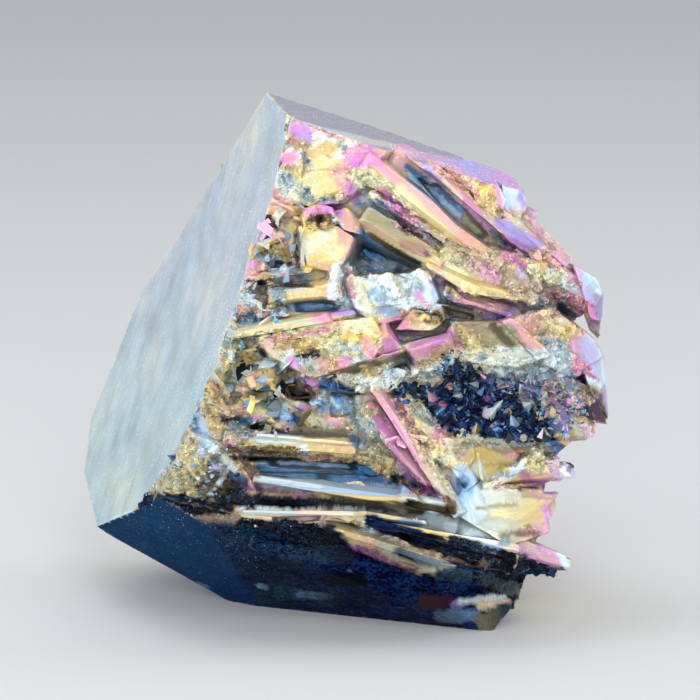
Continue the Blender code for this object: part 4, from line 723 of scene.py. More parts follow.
# %% The strokes of the foot: spears, laths, the bright facet and the lower tip
FOOT_STROKES = {
    "shelf_ground": (462, 448, 540, 446, 9, "straw silver", 0.72, 0.3, 0.7),
    "shelf_lines": (486, 452, 530, 448, 3, "straw tan", 0.62, 0.1, 0.2),
    "shelf_right": (540, 448, 556, 456, 6, "straw steel", 0.65, 0.25, 0.9),
    "gold_plane": (478, 458, 514, 472, 12, "gold", 0.85, 0.05, 0),
    "gold_plane_dark": (480, 466, 512, 464, 2.5, "gold", 0.78, 0, 0),
    "gold_plane_tan": (480, 477, 502, 474, 6, "gold straw", 0.85, 0, 0),
    "gold_plane_pink": (508, 456, 520, 454, 3, "pink salmon", 0.85, 0.05, 0.1),
    "straw_wedge": (476, 466, 482, 484, 6, "straw", 0.95, 0.3, 0),
    "straw_wedge_rim": (479, 462, 487, 484, 1.6, "silver straw", 1.05, 0.7, 0),
    "grey_wedge": (466, 474, 478, 486, 6, "silver steel", 0.75, 0.35, 0.1),
    "white_lath": (494, 484, 530, 460, 6, "silver", 1, 0.75, 0.6),
    "white_lath_foot": (488, 488, 504, 482, 5, "straw salmon", 0.95, 0.35, 0.6),
    "sugar_right": (532, 458, 556, 472, 9, "straw gold", 0.97, 0.2, 0.9),
    "sugar_pink": (526, 478, 544, 486, 7, "pink magenta", 0.8, 0.08, 0.5),
    "sugar_salmon": (536, 478, 560, 477, 3, "salmon", 1, 0.1, 0.2),
    "small_tip": (556, 468, 572, 480, 10, "pink violet", 1, 0.45, 0.7),
    "small_tip_spark": (563, 470, 566, 476, 3, "silver", 1.3, 0.95, 0.2),
    # Painted shade under the small tip and along the shelf.
    "small_tip_dark": (520, 490, 558, 489, 3, "ink tan", 0.35, 0, 0.3),
    "under_shelf_line": (474, 490, 520, 490, 1.6, "steel", 0.6, 0.1, 0),
    "bright_straw": (500, 515, 545, 505, 16, "straw gold", 1, 0.15, 0),
    "bright_white": (470, 500, 512, 498, 10, "silver straw", 0.97, 0.5, 0),
    "bright_low": (455, 520, 512, 530, 9, "silver straw", 0.97, 0.45, 0),
    "bright_halo": (462, 478, 474, 512, 13, "sky silver", 1.05, 0.55, 0),
    "bright_blue_dot": (463, 482, 466, 490, 7, "steel sky", 1.1, 0.1, 0),
    "bright_dot_heart": (463, 484, 465, 486, 2.6, "navy", 1, 0.05, 0),
    "bright_blue_tail": (465, 494, 470, 508, 5, "sky silver", 1.05, 0.25, 0),
    "bright_olive_line": (476, 508, 516, 504, 1.6, "straw", 0.7, 0.1, 0),
    "bright_pink_edge": (546, 508, 552, 536, 5, "magenta pink", 1.05, 0.2, 0),
    "bright_top_edge": (524, 494, 564, 496, 4, "tan pink", 0.85, 0.2, 0.4),
    "bright_rose": (538, 524, 546, 534, 4, "salmon pink", 1, 0.3, 0),
    "tip_ground": (508, 542, 556, 562, 11, "straw pink", 0.95, 0.25, 0.2),
    # Painted shade along the upper edge of the lower tip.
    "tip_upper_shade": (500, 535, 540, 533, 3, "straw pink", 0.6, 0.05, 0.3),
    "tip_steel": (482, 538, 506, 542, 4, "steel silver", 0.75, 0.3, 0.3),
    "tip_magenta": (540, 545, 560, 560, 6, "magenta pink", 1, 0.3, 0.2),
    "tip_pink_foot": (516, 548, 548, 566, 4, "pink magenta", 0.95, 0.25, 0.4),
    # Painted shade along the foot of the lower tip.
    "tip_shade": (516, 562, 548, 566, 2, "tan ink", 0.35, 0, 0.3),
    # Painted highlight: a pale bluish glint on the end of the lower tip.
    "tip_rim_glint": (560, 552, 568, 568, 4, "sky silver", 1.15, 0.75, 0),
    "long_lath": (362, 514, 492, 548, 7, "straw", 1.05, 0.4, 0.2),
    # Painted light: the pale lath is lit above full light, to lift facets that face down into shade.
    "long_lath_white": (424, 514, 476, 534, 8, "silver", 1.1, 0.6, 0.1),
    "long_lath_low": (404, 526, 486, 546, 2.5, "gold", 0.95, 0.1, 0.1),
    "long_lath_blue": (376, 516, 420, 524, 3, "silver sky", 0.75, 0.35, 0.1),
    "long_lath_end": (478, 538, 500, 550, 4, "silver sky", 0.95, 0.5, 0.2),
    "spear_upper": (262, 482, 404, 492, 6, "silver sky", 0.93, 0.4, 0),
    "spear_white": (256, 478, 320, 486, 3, "silver", 1, 0.6, 0),
    "spear_gold": (292, 496, 424, 503, 5, "gold", 0.95, 0.08, 0),
    "spear_end": (404, 497, 440, 502, 4, "straw silver", 0.95, 0.5, 0),
    # Painted shade along the lower edge of the upper spear.
    "spear_lower_shade": (244, 488, 312, 494, 3, "magenta salmon", 0.5, 0, 0.1),
    "spear_pink": (296, 494, 330, 500, 2, "pink salmon", 0.8, 0.1, 0),
    # Painted shade: the dim band under the spear, darkest at its end.
    "spear_shade": (330, 502, 452, 512, 6, "straw", 0.32, 0.02, 0.1),
    "spear_shade_brown": (418, 508, 452, 512, 5, "salmon tan", 0.28, 0, 0.1),
    "spear_shade_dark": (408, 502, 432, 508, 4, "ink straw", 0.3, 0, 0.1),
    "spear_shade_lines": (388, 504, 404, 512, 3, "straw", 0.62, 0.15, 0),
    # Painted shade in the slot under the spears.
    "spear_slot": (222, 499, 330, 504, 6.5, "ink", 0.5, 0, 0.1),
    "spear_slot_right": (320, 506, 352, 506, 3, "straw ink", 0.25, 0, 0.1),
    "lath_straw": (244, 514, 330, 521, 4, "straw salmon", 0.98, 0.25, 0.2),
    "lath_white": (242, 510, 300, 512, 3, "silver", 1.05, 0.8, 0),
    "lath_pink": (300, 512, 356, 512, 4, "salmon straw", 1, 0.4, 0.1),
    "lath_tip": (344, 511, 364, 510, 2, "silver", 1.1, 0.85, 0),
    "lath_tip_gold": (330, 522, 350, 532, 5, "gold straw", 0.9, 0.15, 0.4),
    "lath_arm": (358, 514, 396, 517, 3, "tan gold", 0.9, 0.15, 0.1),
    # Painted light: these two strokes lift a pale facet that lies in shade.
    "lath_arm_pale": (430, 518, 494, 538, 7, "silver straw", 1.1, 0.5, 0),
    "lath_painted_light": (447, 526, 480, 535, 5, "silver", 1.4, 0.6, 0),
    "glint": (364, 528, 382, 522, 5, "silver", 1.25, 0.95, 0.9),
    # Painted shade under the laths and low under the stone.
    "under_gap": (372, 522, 474, 556, 8, "navy ink", 0.9, 0, 0.4),
    "under_gap_right": (440, 544, 500, 556, 8, "navy steel", 0.7, 0.05, 0.9),
    "under_lath": (352, 534, 440, 568, 8, "straw", 0.72, 0.25, 0.4),
    "under_lath_peach": (348, 532, 372, 544, 5, "gold salmon", 0.85, 0.1, 0.4),
    "under_lath_steel": (400, 552, 452, 570, 5, "steel silver", 0.6, 0.25, 0.3),
    # Painted shade along the lower edge of the lath.
    "under_lath_edge_shade": (354, 546, 420, 572, 3, "magenta salmon", 0.5, 0.02, 0.6),
    "under_lath_line": (420, 572, 442, 568, 1.5, "silver straw", 1, 0.6, 0),
    "under_steel": (440, 574, 490, 576, 5, "steel", 0.5, 0.15, 0.4),
    "stones": (476, 578, 520, 590, 6, "steel silver", 0.4, 0.15, 1),
    "right_ink": (500, 556, 560, 576, 7, "ink steel", 0.5, 0.05, 0.8),
    # Painted shade on the lowest crystal of the foot.
    "maroon": (424, 602, 452, 604, 8, "salmon magenta", 0.2, 0, 0.1),
    "violet": (454, 604, 460, 606, 3, "violet", 0.6, 0, 0.1),
    "blue": (440, 616, 476, 616, 6, "steel sky", 0.6, 0.15, 0.4),
    "white": (460, 602, 504, 597, 3.4, "silver", 0.85, 0.5, 0.3),
    "peach": (480, 606, 508, 602, 4, "gold salmon", 0.85, 0.35, 0.3),
    "tan": (484, 622, 508, 612, 9, "straw steel", 0.42, 0.2, 0.3),
    "corner_ground": (168, 474, 204, 486, 14, "straw", 0.75, 0.25, 1),
    "corner_straw": (176, 432, 200, 474, 9, "straw gold", 0.9, 0.3, 1),
    "corner_pink": (164, 458, 174, 450, 4, "pink tan", 0.75, 0.1, 0.8),
    # Painted shade low in the left corner.
    "corner_ink": (206, 488, 250, 500, 7, "ink navy", 0.7, 0.05, 1),
    "corner_tan": (222, 452, 214, 470, 8, "straw steel", 0.55, 0.15, 0.9),
    "corner_low_shade": (204, 484, 236, 484, 9, "tan ink", 0.42, 0.08, 0.9),
    "corner_blue": (192, 412, 210, 446, 7, "sky", 1, 0.5, 0.5),
    "corner_steel": (191, 410, 196, 432, 4, "steel sky", 1, 0.2, 0.2),
    "corner_white": (200, 450, 216, 448, 5, "silver", 1.05, 0.8, 0.9),
    "corner_needle": (211, 494, 222, 478, 2, "silver", 1.1, 0.8, 0),
    "corner_needle_two": (201, 492, 207, 480, 2, "silver steel", 0.9, 0.6, 0),
    "corner_needle_three": (214, 466, 226, 470, 2, "silver straw", 0.9, 0.7, 0),
    "corner_navy": (228, 466, 244, 482, 6, "steel navy", 0.9, 0.05, 0.2),
    "corner_peach": (224, 458, 234, 468, 4, "straw silver", 0.85, 0.4, 0.5),
    "corner_amber": (244, 462, 254, 474, 5, "gold tan", 0.6, 0, 0.8),
    "corner_left_line": (152, 488, 170, 462, 4, "straw silver", 0.8, 0.5, 1),
    # Painted shade along the foot edge.
    "edge_dark": (140, 500, 226, 508, 9, "navy ink", 0.8, 0.03, 0.9),
    "edge_right": (240, 522, 330, 528, 4, "ink navy", 0.8, 0.03, 0.9),
}
print(len(FOOT_STROKES), "strokes on the foot")

# %% The strokes on the saw-cut underside
UNDER_STROKES = {
    # The underside is dark: partly the blue of a thick film, partly painted shade.
    "patch_left": (288, 552, 345, 556, 10, "steel navy", 0.55, 0.05, 0.5),
    "patch_low": (280, 592, 340, 600, 7, "steel navy", 0.55, 0.05, 0.5),
    # Painted highlights: faint bluish glints on the dark underside.
    "under_glint_one": (199, 584, 207, 587, 2.6, "steel", 0.95, 0.1, 0.2),
    "under_glint_two": (259, 586, 267, 588, 2.4, "sky steel", 0.75, 0.1, 0.2),
    "under_glint_three": (300, 594, 330, 597, 3.5, "steel navy", 0.95, 0.05, 0.3),
    "white_line": (418, 571, 441, 568, 1.5, "gold straw", 0.8, 0.3, 0),
    # Painted shade on the underside.
    "brown": (282, 528, 330, 540, 9, "navy ink", 0.7, 0.03, 0.8),
    "black": (300, 576, 360, 580, 7, "navy ink", 0.7, 0, 0.4),
}
print(len(UNDER_STROKES), "strokes on the underside")

# %% The strokes of the narrow top face
TOP_STROKES = {
    "rim": (300, 124, 400, 148, 3, "silver salmon", 0.98, 0.5, 0.4),
    "rim_rose": (396, 148, 470, 168, 5, "pink violet", 1, 0.3, 0.6),
    "rim_gold": (430, 164, 480, 178, 4, "salmon pink", 1, 0.2, 0.8),
    "end": (470, 164, 520, 186, 10, "violet magenta", 1, 0.35, 0.5),
}
print(len(TOP_STROKES), "strokes on the top")

# %% [markdown]
# ## A film that can be laid and stroked
# The film keeps its eight values at every point of the surface, and the way the grain of the quartz
# runs there. Film is laid through a mask. A stroke is a mask of its own: a capsule on the chart with
# a soft edge. Slow noise pushes the chart about a little, so that no stroke ends in a ruled line.

# %% Noise, masks and the film
WOBBLE = 16.0 / CHART_UNIT
FINE_WOBBLE = WOBBLE / 3
WARP = 5.0
FINE_WARP = 2.5
NOISE_STEPS = (7.3, 3.1, 5.7)
SIDE_GRAIN = ((0.0, 1.0, 0.0), (0.6, 0.0, 0.0), (0.4, 0.5, 0.3))
LEAST_WANDER = 0.25
WIDE_STROKE = 6.0
REACH_SHARE = 1.5
REACH_MARGIN = 12.0
LEAST_SOFT = 1.2
SOFT_SHARE = 0.12
SOFT_BY_ROUGH = 0.25
DEPTH_GRAIN = 0.5


def smooth_step(low, high, value):
    """0 below low, 1 above high, and a soft rise between."""
    part = np.clip((value - low) / (high - low), 0, 1)
    return part * part * (3 - 2 * part)


def slow_noise(points, size, seed):
    """Smooth noise from -1 to 1 with lumps about this many millimetres across."""
    shift = Vector([seed * step for step in NOISE_STEPS])
    return np.array([noise.noise(Vector(place) / size + shift) for place in points.tolist()])


def warp(points, seed):
    """How far noise pushes each point on the chart."""
    return WARP * slow_noise(points, WOBBLE, seed) + FINE_WARP * slow_noise(points, FINE_WOBBLE, seed + 1)


class Film:
    """The film at each point of a surface, and the grain of the quartz below it."""

    def __init__(self, points, normals):
        self.points, self.normals = points, normals
        self.coat = np.zeros((len(points), METAL + 1))
        self.grain = points @ np.array(SIDE_GRAIN)
        self.x, self.y = to_chart(points)
        self.warp_x, self.warp_y = warp(points, 1), warp(points, 3)

    def lay(self, mask, tone, light, milk, rough):
        """Blends new film in where the mask is 1."""
        new = coat_of_film(tone, light, milk, rough)
        mask = np.atleast_1d(mask)[:, None]
        self.coat += mask * (new - self.coat)

    def stroke(self, row, shown):
        """One stroke: a soft-edged capsule on the chart, in one tone or from a first to a last."""
        x0, y0, x1, y1, half, tones, light, milk, rough = row
        length = max(math.hypot(x1 - x0, y1 - y0), 1e-3)
        way_x, way_y = (x1 - x0) / length, (y1 - y0) / length
        wander = (LEAST_WANDER + (1 - LEAST_WANDER) * rough) * min(1, half / WIDE_STROKE)
        reach = half * REACH_SHARE + REACH_MARGIN
        near = (shown > 0) & (self.x > min(x0, x1) - reach) & (self.x < max(x0, x1) + reach)
        near = np.flatnonzero(near & (self.y > min(y0, y1) - reach) & (self.y < max(y0, y1) + reach))
        dx = self.x[near] + self.warp_x[near] * wander - x0
        dy = self.y[near] + self.warp_y[near] * wander - y0
        run = np.clip(dx * way_x + dy * way_y, 0, length)
        side = np.hypot(dx - run * way_x, dy - run * way_y)
        soft = LEAST_SOFT + SOFT_SHARE * half + half * SOFT_BY_ROUGH * rough
        mask = (1 - smooth_step(half - soft / 2, half + soft / 2, side)) * shown[near]
        names = tones.split()
        start, end = (coat_of_film(TONE[name], light, milk, rough) for name in (names[0], names[-1]))
        coat = start + (end - start) * (run / length)[:, None]
        self.coat[near] += mask[:, None] * (coat - self.coat[near])
        near = near[mask > 0.5]
        u, v = self.x[near] / CHART_UNIT, -self.y[near] / CHART_UNIT
        along, across = u * way_x - v * way_y, v * way_x + u * way_y
        self.grain[near] = np.stack([along, across, self.points[near, 2] * DEPTH_GRAIN], 1)


def point_normals(points, triangles):
    """Area-weighted normals at the points."""
    normals, areas = triangle_normals(points, triangles)
    total = np.zeros_like(points)
    for corner in range(3):
        np.add.at(total, triangles[:, corner], normals * areas[:, None])
    return total / np.maximum(np.linalg.norm(total, axis=1), 1e-12)[:, None]


skin_normals = point_normals(skin_points, skin_triangles)
film = Film(skin_points, skin_normals)
print("film laid out on", len(film.points), "points")

# %% [markdown]
# ## The sawn faces and the faces near the foot
# Three faces of the stone were cut with a saw. Each is found by its place and the way it faces. The
# faces near the foot that look down, or that hide low in front, are the low faces: they get navy film
# as painted shade.

# %% Find the faces
LEFT_SAW = (-0.93, 0.17, 0.33)
BASE_EDGE_V = (-2.0, 8.0, 13.0, 17.7, 24.6, 31.9, 39.6, 44.0)
BASE_EDGE_U = (-18.0, -18.0, -14.2, -11.2, -8.5, -6.8, -4.6, -3.6)
EDGE_SLACK = 0.35
SAW_PLANES = {
    "top": ((-4.6, 39.5, 0.0), (0.285, 0.897, 0.25)),
    "under": ((-15.4, 10.8, 0.0), (-0.391, -0.828, 0.402)),
}
SAW_REACH = 0.25
LEFT_FACING = (0.72, 0.86)
SAW_FACING = (0.8, 0.95)
SHADE_DOWN_FACING = (-0.35, -0.75)
SHADED_FOOT_V = (9.5, 8.0)
SHADED_FOOT_W = (-13, -11)
SHADED_FOOT_U = (12, 8)


def unit(way):
    """A direction with a length of one."""
    return np.array(way) / np.linalg.norm(way)


def on_plane(name, points, normals):
    """1 on a saw-cut plane, 0 off it."""
    place, way = SAW_PLANES[name]
    near = np.abs((points - np.array(place)) @ unit(way)) < SAW_REACH
    return near * smooth_step(*SAW_FACING, normals @ unit(way))


def find_faces(film):
    """Marks the saw-cut faces, and the low ones that get painted shade, each from 0 to 1."""
    points, normals = film.points, film.normals
    outside = points[:, 0] < np.interp(points[:, 1], BASE_EDGE_V, BASE_EDGE_U) + EDGE_SLACK
    film.left = outside * smooth_step(*LEFT_FACING, normals @ unit(LEFT_SAW))
    film.top = on_plane("top", points, normals)
    film.under = on_plane("under", points, normals)
    film.saw = np.maximum(np.maximum(film.left, film.top), film.under)
    # The low faces, for painted shade: those that look down, and those low near the foot in front.
    down = smooth_step(*SHADE_DOWN_FACING, normals @ face_turn.T @ np.array([0, 0, 1.0]))
    shaded_near_foot = smooth_step(*SHADED_FOOT_V, points[:, 1]) * smooth_step(*SHADED_FOOT_W, points[:, 2])
    shaded_near_foot = shaded_near_foot * smooth_step(*SHADED_FOOT_U, points[:, 0])
    film.low = np.maximum(down, shaded_near_foot) * (1 - np.maximum(film.left, film.under))


find_faces(film)
print("points on the sawn faces", int((film.saw > 0.5).sum()), "and on low ones", int((film.low > 0.5).sum()))

# %% [markdown]
# ## What the vapour left where nobody drew
# The saw-cut faces are nearly flat, and their film is even: pale grey-green on the broad left face,
# grey-pink on the top, deep navy underneath, which is partly the blue of a thick film and partly
# painted shade, darker to the right. The other sides show crystal ends and columns, and slow
# noise along the stone turns their film from gold to violet.

# %% Ground film of every side
SIDE_TONE = 0.27
SIDE_BROAD = 0.12
SIDE_PATCHES = 0.07
SIDE_TONES = (0.08, 0.7)
SIDE_COAT = {"light": 0.9, "milk": 0.2}
SIDE_SMOOTH = 0.12
SIDE_SUGAR = 0.6
SUGAR_PATCH = (0.2, 0.45)
PATCH_STRETCH = (1.0, 0.35, 1.0)
LEFT_ROUGH = 0.16
LEFT_LIGHT = 0.89
LEFT_TONE = 0.01
LEFT_TONE_SWING = 0.05
LEFT_TONES = (0, 0.06)
LEFT_MILK = 0.6
LEFT_STREAK = 0.05
LEFT_MOTTLE = 0.06
LEFT_CLOUD = 0.06
STREAK_RUN = ((0.4, 0, 0), (0.3, 0.12, 0.1), (0.4, 0, 0.5))
SAW_GRAIN = ((0.2, 1.0, 0.3), (0.28, -0.3, 0.1), (0.1, 0.5, 1.0))
LEFT_TINT = (0.97, 1.01, 1.02)
HIGH_TINT = (1.04, 0.98, 1.04)
HIGH_FROM = (14, 30)
HIGH_WOBBLE = 3
SKY_PATCH = (0.12, 0.5)
SKY_PATCH_STRETCH = (1.0, 0.5, 1.0)
SKY_PATCH_SHARE = 0.275


def lay_sides(film):
    """Gold to violet film on the sides, rough in patches."""
    points = film.points
    broad = slow_noise(points, 7.0, 11)
    patches = slow_noise(points * np.array(PATCH_STRETCH), 2.6, 12)
    film.side_tone = SIDE_TONE + SIDE_BROAD * broad + SIDE_PATCHES * patches
    film.side_rough = SIDE_SMOOTH + SIDE_SUGAR * smooth_step(*SUGAR_PATCH, slow_noise(points, 4.0, 17))
    film.lay(1.0, np.clip(film.side_tone, *SIDE_TONES), rough=film.side_rough, **SIDE_COAT)


def lay_left(film, cloud):
    """Even silver film on the broad left face, with faint streaks and a bluer patch or two."""
    points, left = film.points, film.left
    streak = slow_noise(points @ np.array(STREAK_RUN), 1.3, 13)
    mottle = slow_noise(points, 1.6, 15)
    light = LEFT_LIGHT + LEFT_STREAK * streak + LEFT_MOTTLE * mottle + LEFT_CLOUD * cloud
    tone = np.clip(LEFT_TONE + LEFT_TONE_SWING * cloud, *LEFT_TONES)
    film.lay(left, tone, light, LEFT_MILK - 0.2 * cloud, LEFT_ROUGH)
    high = smooth_step(*HIGH_FROM, points[:, 1] + HIGH_WOBBLE * cloud)[:, None]
    tint = np.array(LEFT_TINT) * (1 - high) + np.array(HIGH_TINT) * high
    film.coat[:, COLOUR] *= 1 + left[:, None] * (tint - 1)
    patch = smooth_step(*SKY_PATCH, slow_noise(points * np.array(SKY_PATCH_STRETCH), 4.0, 16))
    film.lay(left * patch * SKY_PATCH_SHARE, TONE["sky"], LEFT_LIGHT, LEFT_MILK, LEFT_ROUGH)
    film.grain = np.where((left > 0.5)[:, None], points @ np.array(SAW_GRAIN), film.grain)


def lay_dim_faces(film, cloud):
    """Grey-pink film on the top face; navy film, partly painted shade, on the underside and the low faces
    near the foot.
    """
    film.lay(film.top, 0.52 + 0.06 * cloud, 0.79, 0.78, 0.15)
    # Painted shade: the underside grows darker towards the right.
    deep = smooth_step(-16, 4, film.points[:, 0])
    light = 0.76 - 0.12 * deep + 0.2 * cloud
    film.lay(film.under, 0.85 + 0.06 * deep + 0.03 * cloud, light, 0.0, 0.5)
    # Painted shade: navy film on the low faces.
    film.lay(film.low * 0.85, 0.88 + 0.05 * cloud, 0.95, 0.02, 0.5)


lay_sides(film)
slow_cloud = slow_noise(film.points, 5.0, 14)
lay_left(film, slow_cloud)
lay_dim_faces(film, slow_cloud)
print("ground film from", film.coat[:, COLOUR].min(0).round(2), "to", film.coat[:, COLOUR].max(0).round(2))

# %% [markdown]
# ## Draw the strokes
# The strokes are drawn on what shows in front of the stone. The saw-cut underside and top have strokes
# of their own, and the underside stays calm: its film turns little, so it keeps to one deep blue, partly
# painted shade, with a few painted glints.

# %% Draw every stroke
FRONT_STROKES = (
    GROUND_STROKES, CAP_STROKES, SHOULDER_STROKES, LEFT_STROKES,
    MIDDLE_STROKES, LOWER_STROKES, FOOT_STROKES,
)
FRONT_FACING = (-0.05, 0.2)
FRONT_W = (-17, -13)
UNDER_CALM = 0.8


def shown_in_front(film):
    """1 on what faces the front of the stone, 0 on what faces away or lies behind it."""
    facing = smooth_step(*FRONT_FACING, film.normals[:, 2])
    return facing * (1 - np.maximum(film.left, film.top)) * smooth_step(*FRONT_W, film.points[:, 2])


def paint(film):
    """Every stroke of the face, then those of the underside and of the top."""
    front = shown_in_front(film)
    for strokes in FRONT_STROKES:
        for row in strokes.values():
            film.stroke(row, front * (1 - film.under))
    for row in UNDER_STROKES.values():
        film.stroke(row, front)
    for row in TOP_STROKES.values():
        film.stroke(row, film.top)
    film.coat[:, TURNING.start:] *= (1 - UNDER_CALM * film.under)[:, None]
    film.side = (1 - front) * (1 - np.maximum(film.saw, film.low))


paint(film)
print("brightest film", film.coat[:, COLOUR].max(0).round(2), "roughest", film.coat[:, ROUGH].max().round(2))

# %% [markdown]
# ## Relief
# Sugary quartz is a crowd of tiny facets, so the skin there is broken into cells, and each cell is
# tilted as one little plane. The blades keep their flats and take fine ridges along their length.
# The saw-cut faces keep nearly flat. The tilts come from a noise that is given its seed first, so that
# the stone is the same each time.

# %% Soften the edges, then raise the relief
SOFTENING_ROUNDS = 3
SOFTENING_SHARE = 0.45
SAW_MARGIN = (-0.1, 0.15)
SOFT_W = (-8, -4)
FOOT_STAYS = 0.4
CELL_SIZE = 0.9
CELL_TILT = 0.42
CELL_STEP = 3.7
CELL_SEED = 7
CELL_SLOPE = 2.0
FINE_CELL_SHARE = 0.6
FINE_CELL_RATIO = 2.2
SUGARY = (0.35, 0.8)
LEAST_SUGAR = 0.02
RIDGE_HEIGHT = 0.05
RIDGE_STRETCH = (0.12, 2.2, 1.0)
SAW_ROUGH = 0.015
RELIEF_FROM = (0.12, 0.5)


def cell_relief(points, size, seed):
    """Height of little tilted planes, one in each cell, from -1 to 1 of the cell size."""
    heights = np.zeros(len(points))
    for index, place in enumerate(points.tolist()):
        place = Vector(place) / size
        cell = noise.voronoi(place, distance_metric="DISTANCE")[1][0]
        tilt = noise.noise_vector(cell * CELL_STEP + Vector((seed, 0, 0))) * CELL_SLOPE
        heights[index] = (place - cell).dot(tilt)
    return np.clip(heights, -1, 1) * size


def raise_relief(film):
    """Moves the points out or in along their normals."""
    points, normals = film.points, film.normals
    sugar = smooth_step(*SUGARY, film.coat[:, ROUGH]) * (1 - film.saw)
    height = np.zeros(len(points))
    rows = np.flatnonzero(sugar > LEAST_SUGAR)
    fine_size = CELL_SIZE / FINE_CELL_RATIO
    height[rows] += CELL_TILT * sugar[rows] * cell_relief(points[rows], CELL_SIZE, 3)
    height[rows] += CELL_TILT * FINE_CELL_SHARE * sugar[rows] * cell_relief(points[rows], fine_size, 5)
    ridges = slow_noise(film.grain * np.array(RIDGE_STRETCH), 1.0, 21)
    height += RIDGE_HEIGHT * ridges * (1 - sugar) * (1 - film.saw)
    height += SAW_ROUGH * slow_noise(points, 0.8, 22) * film.saw
    foot = smooth_step(*RELIEF_FROM, to_world(points)[:, 2] / MM)
    return points + normals * (height * foot)[:, None]


def soften(points, triangles, share):
    """Draws each point a little way to the middle of its neighbours, where the share allows it."""
    edges = np.unique(np.sort(np.stack([triangles, np.roll(triangles, -1, 1)], 2).reshape(-1, 2), 1), axis=0)
    count = np.bincount(edges.ravel(), minlength=len(points))[:, None]
    for _ in range(SOFTENING_ROUNDS):
        total = np.zeros_like(points)
        np.add.at(total, edges[:, 0], points[edges[:, 1]])
        np.add.at(total, edges[:, 1], points[edges[:, 0]])
        points = points + (total / count - points) * share[:, None]
    return points


near_saw = smooth_step(*SAW_MARGIN, film.saw)
on_foot = to_world(skin_points)[:, 2] < FOOT_STAYS * MM
soft_share = SOFTENING_SHARE * (1 - near_saw) * ~on_foot * smooth_step(*SOFT_W, skin_points[:, 2])
film.points = soften(skin_points, skin_triangles, soft_share)
film.normals = point_normals(film.points, skin_triangles)
noise.seed_set(CELL_SEED)
skin_places = raise_relief(film)
print("relief up to", round(float(np.abs(skin_places - skin_points).max()), 2), "mm")

# %% [markdown]
# ## The quartz and its film as a material
# The skin carries three layers of values for the material. One holds the film's colour and roughness,
# one holds how the colour turns and how much it mirrors, and one holds the run of the grain. Each tiny
# cell of sugary quartz shifts the colour a little and leans its own way, which makes the glitter, and a
# few of the tiniest cells are painted much lighter as glints. On
# the blades a stretched noise along the grain makes the striations.

# %% The film material
PAINTED_GLINT_SHARE = 0.95
PAINTED_GLINT_ON_SUGAR = 0.6
PAINTED_GLINT_GAIN = (3.2, 3.2, 3.2, 1.0)
GLINT_CELL_SCALE = 8500.0
BLOTCH_SCALE = 420.0
LINE_STRETCH = (0.22, 5.0, 1.0)
SPECULAR = 0.3
CELL_SWING = 1.0
LINE_SWING = 1.3
BLOTCH_SWING = 1.1
CELL_LIGHT = 0.35
LINE_LIGHT = 0.5
CELL_GLOSS = 0.22
STRIATION_HEIGHT = 0.00006
FULL_METAL = 0.95
DARKEST = (0.002, 0.003, 0.006)
MIDDLE_GREY = (0.5, 0.5, 0.5)


def plug(tree, value, socket):
    """Gives an input its value, or links it to the output that has the value."""
    if isinstance(value, (int, float, tuple)):
        socket.default_value = value
    else:
        tree.links.new(value, socket)


def socket_math(tree, kind, first, second):
    """A maths node of two inputs, each a socket or a number."""
    node = tree.nodes.new("ShaderNodeMath")
    node.operation = kind
    plug(tree, first, node.inputs[0])
    plug(tree, second, node.inputs[1])
    return node.outputs[0]


def vector_math(tree, kind, *values):
    """A vector maths node, its inputs each a socket or a value."""
    node = tree.nodes.new("ShaderNodeVectorMath")
    node.operation = kind
    sockets = (node.inputs[0], node.inputs["Scale"]) if kind == "SCALE" else node.inputs
    for value, socket in zip(values, sockets):
        plug(tree, value, socket)
    return node.outputs["Value" if kind == "DOT_PRODUCT" else "Vector"]


def mix_colour(tree, share, first, second, blend):
    """Blends a second colour into the first one by a share."""
    node = tree.nodes.new("ShaderNodeMix")
    node.data_type = "RGBA"
    node.blend_type = blend
    node.clamp_result = True
    for name, value in (("Factor", share), ("A", first), ("B", second)):
        kind = "VALUE" if name == "Factor" else "RGBA"
        plug(tree, value, next(s for s in node.inputs if s.name == name and s.type == kind))
    return next(s for s in node.outputs if s.type == "RGBA")


def texture(tree, kind, vector, **settings):
    """A texture node with its sockets set by name."""
    node = tree.nodes.new(kind)
    for name, value in settings.items():
        node.inputs[name].default_value = value
    tree.links.new(vector, node.inputs["Vector"])
    return node


def cell_numbers(tree, cells):
    """Three random numbers for each cell of a cell texture."""
    node = tree.nodes.new("ShaderNodeSeparateColor")
    tree.links.new(cells.outputs["Color"], node.inputs[0])
    return node.outputs


def swing(tree, value, amount, share):
    """A value about one half as a push either way, where the share allows it."""
    centred = socket_math(tree, "SUBTRACT", value, 0.5)
    return socket_math(tree, "MULTIPLY", socket_math(tree, "MULTIPLY", centred, amount), share)


